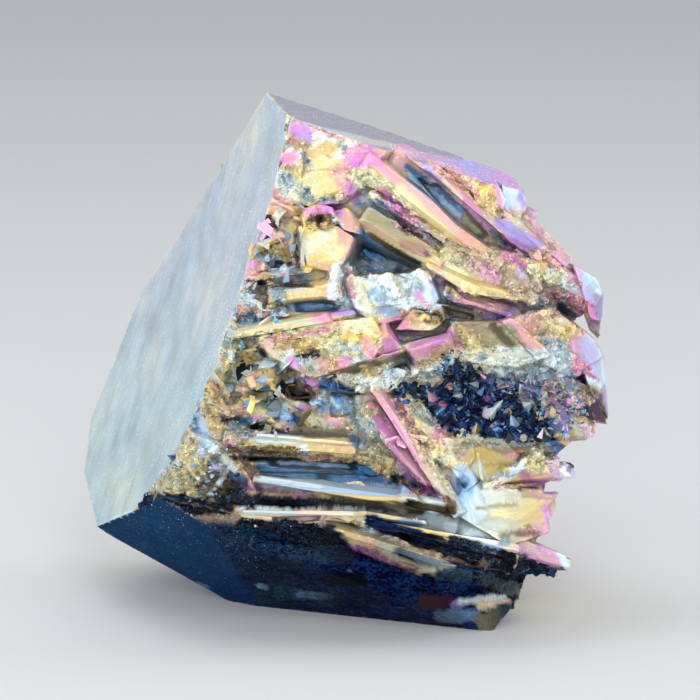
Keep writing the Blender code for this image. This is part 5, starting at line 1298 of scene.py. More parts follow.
def film_material(name, slot_roughness=0.34, metal=0.15, cell_scale=3000.0, bump=0.45, specular=SPECULAR):
    """Quartz under a metal film, driven by the values that the mesh carries."""
    material = bpy.data.materials.new(name)
    material.use_nodes = True
    tree = material.node_tree
    shader = tree.nodes["Principled BSDF"]
    carried, turning, grain = (tree.nodes.new("ShaderNodeAttribute") for _ in range(3))
    for node, layer in ((carried, "film"), (turning, "film_turn"), (grain, "grain")):
        node.attribute_name = layer
    rough, dark_metal = carried.outputs["Alpha"], turning.outputs["Alpha"]
    smooth = socket_math(tree, "SUBTRACT", 1.0, rough)

    place = tree.nodes.new("ShaderNodeTexCoord").outputs["Object"]
    cells = texture(tree, "ShaderNodeTexVoronoi", place, Scale=cell_scale)
    cell = cell_numbers(tree, cells)
    # Tiny cells for the painted glints.
    speck = cell_numbers(tree, texture(tree, "ShaderNodeTexVoronoi", place, Scale=GLINT_CELL_SCALE))
    blotch = texture(tree, "ShaderNodeTexNoise", place, Scale=BLOTCH_SCALE, Detail=5.0, Roughness=0.7)
    stretch = tree.nodes.new("ShaderNodeMapping")
    stretch.inputs["Scale"].default_value = LINE_STRETCH
    tree.links.new(grain.outputs["Vector"], stretch.inputs["Vector"])
    lines = texture(tree, "ShaderNodeTexNoise", stretch.outputs[0], Scale=1.0, Detail=4.0, Roughness=0.65)
    line = lines.outputs["Fac"]

    shift = socket_math(
        tree, "ADD", swing(tree, cell[0], CELL_SWING, rough), swing(tree, line, LINE_SWING, smooth))
    shift = socket_math(tree, "ADD", shift, swing(tree, blotch.outputs["Fac"], BLOTCH_SWING, 1.0))
    turned = vector_math(tree, "MULTIPLY_ADD", turning.outputs["Color"], shift, carried.outputs["Color"])
    lawful = vector_math(tree, "MAXIMUM", turned, DARKEST)
    # Painted glints: on sugary quartz a few tiny cells are made over three times lighter.
    spark = socket_math(tree, "GREATER_THAN", speck[0], PAINTED_GLINT_SHARE)
    spark = socket_math(tree, "MULTIPLY", spark, socket_math(tree, "MULTIPLY", rough, PAINTED_GLINT_ON_SUGAR))
    sparkling = mix_colour(tree, spark, lawful, PAINTED_GLINT_GAIN, "MULTIPLY")
    uneven = socket_math(tree, "ADD", swing(tree, cell[1], CELL_LIGHT, rough), 1.0)
    uneven = socket_math(tree, "ADD", uneven, swing(tree, line, LINE_LIGHT, smooth))
    tree.links.new(vector_math(tree, "SCALE", sparkling, uneven), shader.inputs["Base Color"])

    tilt = vector_math(tree, "SUBTRACT", place, cells.outputs["Position"])
    lean_way = vector_math(tree, "SUBTRACT", cells.outputs["Color"], MIDDLE_GREY)
    height = socket_math(tree, "MULTIPLY", vector_math(tree, "DOT_PRODUCT", tilt, lean_way), rough)
    ridge = socket_math(tree, "MULTIPLY", socket_math(tree, "MULTIPLY", line, STRIATION_HEIGHT), smooth)
    bumps = tree.nodes.new("ShaderNodeBump")
    bumps.inputs["Strength"].default_value = bump
    bumps.inputs["Distance"].default_value = 1.0
    tree.links.new(socket_math(tree, "ADD", height, ridge), bumps.inputs["Height"])
    tree.links.new(bumps.outputs[0], shader.inputs["Normal"])

    gloss = socket_math(tree, "MULTIPLY", socket_math(tree, "MULTIPLY", cell[2], CELL_GLOSS), rough)
    tree.links.new(socket_math(tree, "ADD", gloss, slot_roughness), shader.inputs["Roughness"])
    all_metal = socket_math(tree, "MULTIPLY", dark_metal, FULL_METAL - metal)
    tree.links.new(socket_math(tree, "ADD", all_metal, metal), shader.inputs["Metallic"])
    shader.inputs["Specular IOR Level"].default_value = specular
    return material


quartz = film_material("aura_quartz_film")
cut_quartz = film_material(
    "saw_cut_film", slot_roughness=0.5, metal=0.0, cell_scale=5200.0, bump=0.3, specular=0.0)
print("material", quartz.name, "with", len(quartz.node_tree.nodes), "nodes")

# %% [markdown]
# ## The skin as a piece
# The skin takes the place of the plain solid. Blades shade smoothly between their sharp edges, and
# sugary quartz is left faceted.

# %% A mesh that carries the film
SHARP_ANGLE = 28.0


def stone_piece(name, places, triangles, coat, grain, material, faceted=None):
    """A mesh object in world metres that carries the film on its points, triangles or corners."""
    mesh = bpy.data.meshes.new(name)
    mesh.from_pydata(to_world(places).tolist(), [], triangles.tolist())
    mesh.materials.append(material)
    domain = "POINT" if len(coat) == len(places) else "CORNER"
    if len(coat) == len(triangles):
        coat = np.repeat(coat, 3, 0)
    for layer_name, columns in (("film", coat[:, :TURNING.start]), ("film_turn", coat[:, TURNING.start:])):
        layer = mesh.attributes.new(layer_name, "FLOAT_COLOR", domain)
        layer.data.foreach_set("color", columns.astype(np.float32).ravel())
    grain_layer = mesh.attributes.new("grain", "FLOAT_VECTOR", "POINT")
    grain_layer.data.foreach_set("vector", grain.astype(np.float32).ravel())
    if faceted is not None:
        mesh.polygons.foreach_set("use_smooth", ~faceted)
        mesh.set_sharp_from_angle(angle=math.radians(SHARP_ANGLE))
    mesh.update()
    piece = bpy.data.objects.new(name, mesh)
    bpy.context.scene.collection.objects.link(piece)
    return piece


print("edges sharper than", SHARP_ANGLE, "degrees stay sharp")

# %% [markdown]
# ## Hollows and edges
# In a hollow the vapour came from all round and settled thick, so the film there turns steel blue and
# grey; the tint also darkens the hollows, as painted shade. Rays from each point tell how open it is.
# Outer edges are painted lighter, as a highlight, and creases darker, as shade.

# %% Tint and shade the hollows, paint highlights on edges and shade in creases
EDGE_HIGHLIGHT_GAIN = 1.4
EDGE_HIGHLIGHT_RANGE = (0.7, 1.35)
LOOK_SPREAD = (0.55, 1.2)
LOOKS_AROUND = 6
LOOK_START = 0.12
DEEPEST_LOOK = -9.0
HOLLOW_FILM_AND_SHADE_COLOUR = (0.36, 0.52, 0.66)
HOLLOW_SHARE = 0.4
HOLLOW_RISE = (0.25, 0.95)
DARK_KEEPS = 0.5
LEAST_TINTED = 0.25


def edge_highlight_and_crease_shade(places, normals, triangles):
    """A colour factor: above 1 on outer edges as painted highlight, below 1 in creases as painted shade."""
    edges = np.vstack([triangles[:, [0, 1]], triangles[:, [1, 2]], triangles[:, [2, 0]]])
    step = places[edges[:, 1]] - places[edges[:, 0]]
    step /= np.maximum(np.linalg.norm(step, axis=1), 1e-9)[:, None]
    bend = np.zeros(len(places))
    np.add.at(bend, edges[:, 0], -(normals[edges[:, 0]] * step).sum(1))
    bend /= np.maximum(np.bincount(edges[:, 0], minlength=len(places)), 1)
    return np.clip(1 + EDGE_HIGHLIGHT_GAIN * bend, *EDGE_HIGHLIGHT_RANGE)


def looks_out():
    """Straight out of the face, and two rings of directions about that one."""
    looks = [Vector((0.0, 0.0, 1.0))]
    for spread in LOOK_SPREAD:
        for step in range(LOOKS_AROUND):
            around = math.tau * (step + spread) / LOOKS_AROUND
            ring = math.sin(spread)
            looks.append(Vector((ring * math.cos(around), ring * math.sin(around), math.cos(spread))))
    return looks


def openness(places, normals, tree):
    """Share of the looks out of the face that leave the stone, for points that face it."""
    looks = looks_out()
    share = np.ones(len(places))
    for index in np.flatnonzero((normals[:, 2] > 0.0) & (places[:, 2] > DEEPEST_LOOK)):
        start = Vector(places[index] + normals[index] * LOOK_START)
        share[index] = sum(tree.ray_cast(start, look)[0] is None for look in looks) / len(looks)
    return share


skin_normals = point_normals(skin_places, skin_triangles)
skin_bvh = BVHTree.FromPolygons(skin_places.tolist(), skin_triangles.tolist())
open_share = openness(skin_places, skin_normals, skin_bvh)
# Painted shade in part: the hollows are tinted toward a darker steel blue-grey.
hollow = smooth_step(*HOLLOW_RISE, 1 - open_share) * HOLLOW_SHARE
hollow_film_and_shade_row = np.array(linear(HOLLOW_FILM_AND_SHADE_COLOUR))
keep = np.clip(film.coat[:, COLOUR].max(1) / DARK_KEEPS, LEAST_TINTED, 1)
film.coat[:, COLOUR] += (hollow * keep)[:, None] * (hollow_film_and_shade_row - film.coat[:, COLOUR])
# Painted highlight on outer edges, painted shade in creases.
film.coat[:, COLOUR] *= edge_highlight_and_crease_shade(skin_places, skin_normals, skin_triangles)[:, None]
print("open share", round(float(open_share.mean()), 2))

# %% [markdown]
# ## Facets
# Every flat facet has its own tone and light, told by the plane it lies in, and the change is sharp
# at its edges, because the values are kept for each corner of each triangle.

# %% Give each facet its own tone
FACET_LIGHT = 0.12
FACET_TONE = 0.62
FACET_TONES = (0.06, 0.74)
FACET_TURN = 2.7
FACET_STEP = (0.45, 0.21, 0.0)
SECOND_NUMBER = Vector((9.0, 4.0, 2.0))
SIDE_METAL = 0.55
SIDE_LIGHT = 1.02
SIDE_SWING = 0.15
SIDE_MILK = 0.15


def facet_numbers(points, triangles):
    """Two smooth random numbers for the plane that each triangle lies in."""
    normals, _ = triangle_normals(points, triangles)
    offsets = (points[triangles].mean(1) * normals).sum(1)
    numbers = np.zeros((len(triangles), 2))
    for index, (normal, offset) in enumerate(zip(normals.tolist(), offsets.tolist())):
        place = Vector(normal) * FACET_TURN + Vector([offset * step for step in FACET_STEP])
        numbers[index] = noise.noise(place), noise.noise(place + SECOND_NUMBER)
    return numbers


facets = facet_numbers(skin_points, skin_triangles)
corners = skin_triangles.ravel()
corner_coat = film.coat[corners]
corner_facet = np.repeat(facets, 3, 0)
side_tone = film.side_tone[corners] + FACET_TONE * corner_facet[:, 0]
side_rough = film.side_rough[corners]
side_light = SIDE_LIGHT + SIDE_SWING * corner_facet[:, 1]
side_coat = coat_of_film(np.clip(side_tone, *FACET_TONES), side_light, SIDE_MILK, side_rough)
side_coat[:, METAL] = SIDE_METAL * (1 - side_rough)
corner_coat += film.side[corners][:, None] * (side_coat - corner_coat)
corner_coat[:, COLOUR] *= (1 + 2 * FACET_LIGHT * corner_facet[:, 1] * (1 - film.saw[corners]))[:, None]
print("facet numbers from", facets.min(0).round(2), "to", facets.max(0).round(2))

# %% Build the skin
SUGARY_FACE = 0.55
DARK_FILM = 0.12
DARK_FOOT_V = 10.0
sugary = film.coat[:, ROUGH][skin_triangles].mean(1) > SUGARY_FACE
skin = stone_piece("quartz_skin", skin_places, skin_triangles, corner_coat, film.grain, quartz, sugary)
skin.data.materials.append(cut_quartz)
dark_foot = (film.coat[:, COLOUR].max(1) < DARK_FILM) & (skin_places[:, 1] < DARK_FOOT_V)
cut_faces = np.maximum(film.saw, dark_foot)[skin_triangles].mean(1) > 0.5
skin.data.polygons.foreach_set("material_index", cut_faces.astype(np.int32))
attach(skin, "root")
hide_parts("crystal_cluster")
print("skin faces", len(skin.data.polygons), "sugary", int(sugary.sum()))

# %% [markdown]
# ## Sugar grains and broken shards
# Between the blades the quartz is a crust of grains the size of sugar, each with flat bright facets.
# They grow out of the surface, so each one is sunk into it by half. Where the cluster was broken
# open the pieces are longer and lie every way. Each grain keeps the film of the place it stands on,
# a little thicker or thinner.

# %% Shapes of single grains
POINTED_SIDES = 6


def pointed_crystal(shoulder=0.62):
    """Six sides and a six-faced point, one unit high and one across, as points and triangles."""
    ring = [(math.cos(a) / 2, math.sin(a) / 2) for a in np.arange(POINTED_SIDES) * math.tau / POINTED_SIDES]
    points = [(x, y, 0.0) for x, y in ring] + [(x, y, shoulder) for x, y in ring] + [(0.04, 0.02, 1.0)]
    triangles = []
    for side in range(POINTED_SIDES):
        after = (side + 1) % POINTED_SIDES
        top, top_after = side + POINTED_SIDES, after + POINTED_SIDES
        triangles += [(side, after, top_after), (side, top_after, top), (top, top_after, 2 * POINTED_SIDES)]
    triangles += [(0, side + 1, side) for side in range(1, POINTED_SIDES - 1)]
    return np.array(points), np.array(triangles)


def skew_pyramid():
    """Four sides that meet off the middle."""
    points = [(-0.5, -0.4, 0), (0.5, -0.5, 0), (0.4, 0.5, 0), (-0.5, 0.4, 0), (0.18, 0.1, 1)]
    return np.array(points), np.array([(0, 1, 4), (1, 2, 4), (2, 3, 4), (3, 0, 4), (0, 2, 1), (0, 3, 2)])


def broken_slab():
    """A block with a slanted broken top."""
    points = [(-0.5, -0.5, 0), (0.5, -0.5, 0), (0.5, 0.5, 0), (-0.5, 0.5, 0)]
    points += [(-0.4, -0.4, 0.55), (0.38, -0.42, 0.8), (0.42, 0.36, 1.0), (-0.36, 0.42, 0.7)]
    triangles = [(0, 2, 1), (0, 3, 2), (4, 5, 6), (4, 6, 7)]
    for side in range(4):
        after = (side + 1) % 4
        triangles += [(side, after, after + 4), (side, after + 4, side + 4)]
    return np.array(points), np.array(triangles)


GRAIN_SHAPES = (skew_pyramid(), broken_slab(), pointed_crystal())
print("grain shapes", [len(triangles) for _, triangles in GRAIN_SHAPES], "triangles each")

# %% Gather grains into one piece
GRAIN_SUNK = 0.5
FACET_SPREAD = 0.2
FACET_SHADES = (0.88, 1.12)
LEAST_COLOUR = 0.003
GRAIN_RUN = 2.0


class Grains:
    """Many small closed crystals gathered into one mesh, with a film of its own on each facet."""

    def __init__(self, seed):
        self.rng = random.Random(seed)
        self.facet_rng = np.random.default_rng(seed)
        self.places, self.triangles, self.coats, self.grains = [], [], [], []
        self.count = 0

    def add(self, shape, place, axis, size, coat):
        """One grain: where it stands, where it points, its width, depth and height, and its film."""
        points, triangles = shape
        spin = Matrix.Rotation(self.rng.uniform(0, math.tau), 3, "Z")
        turn = Vector(axis).to_track_quat("Z", "Y").to_matrix() @ spin
        scaled = (points - np.array([0, 0, GRAIN_SUNK])) * np.array(size)
        self.places.append(scaled @ np.array(turn).T + np.array(place))
        self.triangles.append(triangles + self.count)
        if np.ndim(coat) == 1:
            coat = np.tile(coat, (len(triangles), 1))
            coat[:, COLOUR] += coat[:, TURNING] * self.facet_rng.normal(0, FACET_SPREAD, (len(triangles), 1))
            coat[:, COLOUR] *= self.facet_rng.uniform(*FACET_SHADES, (len(triangles), 1))
            coat[:, COLOUR] = np.maximum(coat[:, COLOUR], LEAST_COLOUR)
        self.coats.append(coat)
        self.grains.append(points[:, [2, 0, 1]] * GRAIN_RUN)
        self.count += len(points)

    def build(self, name, material):
        """All the grains as one piece of the stone."""
        places, triangles = np.vstack(self.places), np.vstack(self.triangles)
        piece = stone_piece(name, places, triangles, np.vstack(self.coats), np.vstack(self.grains), material)
        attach(piece, "root")
        print(name, len(self.places), "grains", len(triangles), "triangles")
        return piece


print("each grain is sunk by", GRAIN_SUNK, "of its height")

# %% Grow sugar grains on the skin
GRAIN_COUNT = 19000
GRAIN_WIDTH = (0.10, 0.26)
GRAIN_DEPTH = (0.6, 1.0)
GRAIN_HEIGHT = (0.5, 1.1)
GRAIN_LEAN = 0.22
GRAIN_SPREAD = 0.2
GRAIN_SHADES = (0.93, 1.1)
GRAIN_WHITE = 0.04
WHITENING = (0.6, 0.95)
GRAIN_ROUGH = 0.05
SUGAR_GROUND = (0.5, 0.9)
BACK_SHARE = 0.35
FOOT_CLEAR = 1.2
UNDER_LINE = 7.5


def grain_coat(rng, coat, spread=GRAIN_SPREAD, white=GRAIN_WHITE):
    """The film of a grain: that of its place, a little thicker or thinner, and now and then white."""
    coat = coat.copy()
    turned = np.maximum(coat[COLOUR] + coat[TURNING] * rng.gauss(0, spread), LEAST_COLOUR)
    coat[COLOUR] = turned * rng.uniform(*GRAIN_SHADES)
    if rng.random() < white:
        coat[COLOUR] += (MILK_ROW - coat[COLOUR]) * rng.uniform(*WHITENING)
    coat[ROUGH] = GRAIN_ROUGH
    return coat


def lean(rng, normal, amount):
    """A direction near the normal."""
    push = Vector((rng.gauss(0, 1), rng.gauss(0, 1), rng.gauss(0, 1))) * amount
    return (Vector(normal) + push).normalized()


final_normals, final_areas = triangle_normals(skin_places, skin_triangles)
saw_faces = film.saw[skin_triangles].mean(1)
sugar_share = smooth_step(*SUGAR_GROUND, film.coat[:, ROUGH][skin_triangles].mean(1))
sugar_weight = sugar_share * (1 - saw_faces) * final_areas
final_centres_v = skin_places[skin_triangles].mean(1)[:, 1]
above_foot = to_world(skin_places)[skin_triangles].mean(1)[:, 2] > FOOT_CLEAR * MM
sugar_weight = sugar_weight * above_foot * np.where(final_normals[:, 2] > 0, 1.0, BACK_SHARE)
sugar_rng = np.random.default_rng(5)
chosen = sugar_rng.choice(len(skin_triangles), GRAIN_COUNT, p=sugar_weight / sugar_weight.sum())
sugar = Grains(31)
for index in chosen.tolist():
    corners = skin_triangles[index]
    share = sugar_rng.dirichlet((1, 1, 1))
    place = share @ skin_places[corners]
    width = sugar.rng.uniform(*GRAIN_WIDTH)
    size = (width, width * sugar.rng.uniform(*GRAIN_DEPTH), width * sugar.rng.uniform(*GRAIN_HEIGHT))
    shape = sugar.rng.choice(GRAIN_SHAPES[:2])
    white = GRAIN_WHITE * (final_centres_v[index] > UNDER_LINE)
    own = grain_coat(sugar.rng, film.coat[corners[0]], GRAIN_SPREAD, white)
    sugar.add(shape, place, lean(sugar.rng, final_normals[index], GRAIN_LEAN), size, own)
sugar.build("sugar_grains", quartz)

# %% [markdown]
# ## Broken shards along the left of the face
# These are longer than the sugar grains and lie every way, with dark gaps between. Each zone is a
# capsule on the chart: its two ends, its half width, how many shards it gets, and how wide they are.

# %% Scatter the broken shards
SHARD_ZONES = {
    "left_edge_top": (284, 120, 262, 215, 6, 70, 0.2, 0.6),
    "left_edge": (264, 215, 226, 350, 9, 80, 0.25, 0.9),
    "broken_field": (236, 364, 290, 402, 24, 60, 0.5, 1.5),
    "left_low_edge": (222, 350, 170, 470, 9, 120, 0.25, 0.9),
    "corner": (178, 466, 225, 472, 12, 60, 0.25, 0.7),
    "ledge_left": (238, 300, 275, 320, 10, 40, 0.25, 0.8),
    "under_bar": (255, 430, 340, 425, 8, 30, 0.3, 0.8),
    "right_lip": (560, 285, 590, 310, 8, 30, 0.25, 0.6),
    "cap_left": (285, 165, 305, 205, 8, 40, 0.25, 0.6),
    "shard_field": (268, 205, 292, 275, 12, 50, 0.4, 1.2),
}
LOOK_REACH = 30.0
ZONE_SCATTER = 0.6
SHARD_WIDTH = 0.75
SHARD_DEPTH = (0.35, 0.8)
SHARD_HEIGHT = (0.9, 2.2)
SHARD_LEAN = 0.5
SHARD_SPREAD = 0.25
SHARD_LIGHT = (0.9, 1.1)
SHARD_MILK = (0.0, 0.6)
SHARD_LOWEST = UNDER_LINE + 1
MOST_SAWN = 0.3
PALE_SHARDS = 0.35
GLINT_ROUGH = 0.1
SHARD_TONES = ("silver", "silver", "straw", "straw", "gold", "salmon", "pink", "sky", "steel")


def from_chart(x, y, w=0.0):
    """The (u, v, w) that shows at a place on the chart, at a height w above the face."""
    nearer = (CAMERA_DISTANCE - w) / CAMERA_DISTANCE
    u = (x - CHART_MIDDLE) / CHART_UNIT * nearer
    v = CHART_MIDDLE_V - (y - CHART_MIDDLE) / CHART_UNIT * nearer
    return Vector((u, v, w))


def land_on(tree, x, y):
    """Where a line of sight through this place on the chart first meets the stone."""
    start, end = from_chart(x, y, LOOK_REACH), from_chart(x, y, -LOOK_REACH)
    return tree.ray_cast(start, (end - start).normalized())


def spot_in_zone(rng, zone):
    """A random place in a capsule of the chart."""
    x0, y0, x1, y1, half = zone[:5]
    part = rng.random()
    x = x0 + (x1 - x0) * part + rng.gauss(0, half * ZONE_SCATTER)
    y = y0 + (y1 - y0) * part + rng.gauss(0, half * ZONE_SCATTER)
    return x, y


def shard_coat(rng, coat):
    """The film of a shard: that of its place, or a paler one that was broken free of it."""
    if rng.random() < PALE_SHARDS:
        tone, light = TONE[rng.choice(SHARD_TONES)], rng.uniform(*SHARD_LIGHT)
        coat = coat_of_film(tone, light, rng.uniform(*SHARD_MILK), GLINT_ROUGH)[0]
    return grain_coat(rng, coat, SHARD_SPREAD)


shards = Grains(47)
for zone in SHARD_ZONES.values():
    count, small, large = zone[5:]
    for _ in range(count):
        place, normal, index, _ = land_on(skin_bvh, *spot_in_zone(shards.rng, zone))
        if place is None or saw_faces[index] > MOST_SAWN or place.y < SHARD_LOWEST:
            continue
        width = shards.rng.uniform(small, large) * SHARD_WIDTH
        size = (width, width * shards.rng.uniform(*SHARD_DEPTH), width * shards.rng.uniform(*SHARD_HEIGHT))
        shape = shards.rng.choice(GRAIN_SHAPES)
        own = shard_coat(shards.rng, film.coat[skin_triangles[index][0]])
        shards.add(shape, place, lean(shards.rng, normal, SHARD_LEAN), size, own)
print("shards", len(shards.places))

# %% [markdown]
# ## Glints along the ridges
# Tiny pale grains stand where the crust was chipped, and their bright pale film paints glints. Low on
# the stone the glints are blue.

# %% Scatter the glints
BLUE_GLINT_LINE = 10.0
BLUE_GLINT_SIZE = 0.7
BLUE_GLINT_MILK = 0.35
GLINT_MILK = 0.8
GLINT_WIDTH = (0.05, 0.13)
GLINT_HEIGHT = 0.8
GLINT_TONES = (0.0, 0.05, 0.1)
GLINT_LIGHT = (0.95, 1.15)
GLINT_LEAN = 0.4
SPARKLE_ZONES = {
    "ridge_top": (283, 128, 258, 205, 7, 150),
    "ridge_middle": (258, 205, 226, 320, 8, 260),
    "ridge_low": (226, 320, 172, 450, 12, 420),
    "ridge_foot": (172, 450, 110, 500, 9, 120),
    "foot_glints": (120, 505, 260, 520, 12, 160),
    "under_glints": (150, 520, 260, 560, 22, 160),
    "ridge_glints": (236, 300, 205, 370, 5, 120),
    "top_rim": (300, 112, 520, 165, 4, 120),
}
for zone in SPARKLE_ZONES.values():
    for _ in range(zone[5]):
        place, normal, _, _ = land_on(skin_bvh, *spot_in_zone(shards.rng, zone))
        if place is None:
            continue
        width, tone, milk = shards.rng.uniform(*GLINT_WIDTH), shards.rng.choice(GLINT_TONES), GLINT_MILK
        if place.y < BLUE_GLINT_LINE:
            width, tone, milk = width * BLUE_GLINT_SIZE, TONE["sky"], BLUE_GLINT_MILK
        # Painted glints: pale bright film on each grain.
        own = coat_of_film(tone, shards.rng.uniform(*GLINT_LIGHT), milk, GLINT_ROUGH)[0]
        size = (width, width, width * GLINT_HEIGHT)
        shards.add(GRAIN_SHAPES[0], place, lean(shards.rng, normal, GLINT_LEAN), size, own)
shards.build("broken_shards", quartz)

# %% [markdown]
# ## The dark pocket and its druse
# The pocket is a hollow lined with small pointed crystals. The film is thickest there, so they are
# navy and ink, which is partly painted shade of the hollow. Their sides are painted lighter and darker,
# and a few facets are painted light as highlights. The crust is a thin bowl, and crystals stand
# all over it.

# %% A thin bowl for the crust
POCKET_CENTRE = (11.3, 17.0, 0.6)
POCKET_RADII = (6.2, 2.45, 4.3)
POCKET_TURN = -8.0
POLE_GAP = 1e-3
BOWL_OUTER = 0.95
BOWL_INNER = 0.86
BOWL_RIM = -0.35
BOWL_RINGS = 22
BOWL_AROUND = 96
pocket_turn = Matrix.Rotation(math.radians(POCKET_TURN), 3, "Z")
pocket_matrix = np.array(pocket_turn @ Matrix.Diagonal(POCKET_RADII))


def bowl_shell():
    """A closed bowl: outer wall, inner wall and rim."""
    lowest = np.linspace(math.pi - POLE_GAP, math.acos(BOWL_RIM), BOWL_RINGS)
    points, triangles = [], []
    for scale, angles in ((BOWL_OUTER, lowest), (BOWL_INNER, lowest[::-1])):
        for angle in angles:
            for around in np.arange(BOWL_AROUND) * math.tau / BOWL_AROUND:
                ring = math.sin(angle) * scale
                points.append((ring * math.cos(around), ring * math.sin(around), math.cos(angle) * scale))
    rows = 2 * BOWL_RINGS
    for row in range(rows):
        for step in range(BOWL_AROUND):
            a, b = row * BOWL_AROUND + step, row * BOWL_AROUND + (step + 1) % BOWL_AROUND
            c, d = (((row + 1) % rows) * BOWL_AROUND + around % BOWL_AROUND for around in (step, step + 1))
            triangles += [(a, b, d), (a, d, c)]
    return np.array(points), np.array(triangles)


print("pocket matrix", pocket_matrix.round(2).tolist())

# %% Film and shape of the druse crystals
PALE_MIDDLE = (500.0, 400.0)
PALE_REACH = (52.0, 38.0)
AXIS_AWAY = 0.6
AXIS_OUT = 0.7
AXIS_LEAN = 0.5
SIDE_PAINTED_SHADING = (0.55, 1.5)
PALE_TONES = (0.0, 0.1, 0.3, 0.36, 0.45, 0.75)
PALE_LIGHT = (0.7, 1.0)
PALE_CHANCE = 0.8
DARK_TONE = (0.90, 0.05)
DARK_LIGHT = (1.0, 1.6)
CATCH_SHARE = 0.5
CATCH_LIGHT = (0.85, 1.25)
CATCH_MILK = (0.1, 0.8)
CATCH_TONES = ("straw", "tan", "salmon", "pink", "magenta", "silver", "silver", "sky")


def pale_share(x, y):
    """How far the druse has turned pale at a place on the chart: most at the upper right."""
    right, up = (x - PALE_MIDDLE[0]) / PALE_REACH[0], (PALE_MIDDLE[1] - y) / PALE_REACH[1]
    return float(smooth_step(0, 1, right + up))


def three_sided_point(shoulder=0.3):
    """Three walls and a three-faced point, one unit high."""
    ring = [(math.cos(a) / 2, math.sin(a) / 2) for a in np.arange(3) * math.tau / 3]
    points = [(x, y, 0.0) for x, y in ring] + [(x, y, shoulder) for x, y in ring] + [(0.05, 0.03, 1.0)]
    triangles = []
    for side in range(3):
        after = (side + 1) % 3
        triangles += [(side, after, after + 3), (side, after + 3, side + 3), (side + 3, after + 3, 6)]
    return np.array(points), np.array(triangles + [(0, 2, 1)])


# The bright points of the druse are partly painted highlights: the pale and white ones are lit above full
# light.
DRUSE_POINTS = {
    "white_point": (491, 412, 1.25, "silver", 1.2, 0.95),
    "white_point_foot": (484, 409, 0.7, "silver", 1.0, 0.8),
    "orange_point": (508, 412, 1.0, "tan", 1.1, 0.15),
    "sky_point": (513, 421, 1.1, "sky", 1.1, 0.45),
    "sky_point_side": (519, 419, 0.6, "silver", 1.1, 0.8),
    "blue_point": (496, 430, 0.7, "sky", 1.1, 0.0),
    "cream_point": (524, 437, 0.7, "straw", 1.0, 0.5),
    "cream_point_high": (529, 403, 1.15, "silver", 1.1, 0.7),
    "pale_point": (473, 384, 0.6, "silver", 1.1, 0.85),
    "pale_point_left": (456, 395, 0.8, "silver", 0.9, 0.5),
    "pale_point_far": (459, 408, 0.6, "silver", 0.95, 0.7),
    "pale_point_low": (502, 424, 0.5, "straw", 1.0, 0.6),
    "pale_point_mid": (499, 404, 0.7, "silver", 1.05, 0.8),
    "pale_point_right": (540, 418, 0.6, "straw", 1.0, 0.4),
    "violet_point": (487, 397, 0.7, "magenta", 0.7, 0.0),
    "rose_point": (484, 378, 0.8, "pink", 1.0, 0.1),
    "rose_point_left": (449, 386, 0.7, "salmon", 1.0, 0.1),
    "rose_point_far": (431, 396, 0.9, "pink", 1.0, 0.2),
    "rose_point_low": (441, 404, 0.7, "magenta", 0.95, 0.1),
    "rose_point_right": (551, 392, 0.7, "pink", 0.95, 0.15),
    "rose_point_deep": (567, 402, 0.8, "magenta", 1.0, 0.1),
    "gold_point": (476, 428, 0.8, "tan", 0.9, 0.1),
    "gold_point_left": (449, 372, 0.5, "tan", 0.9, 0.2),
    "gold_point_right": (520, 393, 0.6, "gold", 0.9, 0.3),
    "gold_point_far": (552, 410, 0.7, "tan", 1.0, 0.1),
    "sky_point_high": (464, 370, 0.6, "sky", 1.0, 0.5),
    "sky_point_top": (447, 366, 0.5, "sky", 0.9, 0.3),
    "sky_point_right": (568, 384, 0.6, "sky", 1.1, 0.5),
    "steel_point": (482, 390, 0.6, "sky", 0.7, 0.2),
}


def druse_axis(rng, inward):
    """Druse crystals stand out from the wall, turn to the mouth of the pocket and lean every way."""
    away = Vector(inward).normalized() * AXIS_AWAY + Vector((0, 0, AXIS_OUT))
    return (away + Vector((rng.gauss(0, AXIS_LEAN), rng.gauss(0, AXIS_LEAN), 0))).normalized()


def sided(rng, coat, triangles, shades=SIDE_PAINTED_SHADING):
    """The same film on each side of a crystal, painted lighter or darker from side to side as lit and shaded
    sides.
    """
    coat = np.repeat(coat, len(triangles), 0)
    sides = [rng.uniform(*shades) for _ in range(len(triangles) // 3 + 1)]
    coat[:, COLOUR] *= np.array([sides[index // 3] for index in range(len(triangles))])[:, None]
    return coat


def druse_coat(rng, pale, triangles, dark=DARK_TONE):
    """Thick dark film, with a facet here and there painted light in a thin-film colour, as a highlight."""
    if rng.random() < PALE_CHANCE * pale:
        coat = coat_of_film(rng.choice(PALE_TONES), rng.uniform(*PALE_LIGHT), 0.4, 0.0)
    else:
        coat = coat_of_film(min(1.0, rng.gauss(*dark)), rng.uniform(*DARK_LIGHT), 0.03 + 0.12 * pale, 0.0)
    # Painted light and shade: each side of the crystal is made lighter or darker.
    coat = sided(rng, coat, triangles)
    # Painted highlight: now and then one facet of the point takes a light thin-film colour.
    if rng.random() < CATCH_SHARE * (0.35 + 0.9 * pale):
        facet = 2 + 3 * rng.randrange(len(triangles) // 3)
        tone, light = TONE[rng.choice(CATCH_TONES)], rng.uniform(*CATCH_LIGHT)
        coat[facet] = coat_of_film(tone, light, rng.uniform(*CATCH_MILK), 0.0)[0]
    return coat


DRUSE_SHAPES = (pointed_crystal(0.34), three_sided_point())
print("druse shapes", [len(triangles) for _, triangles in DRUSE_SHAPES], "triangles each")

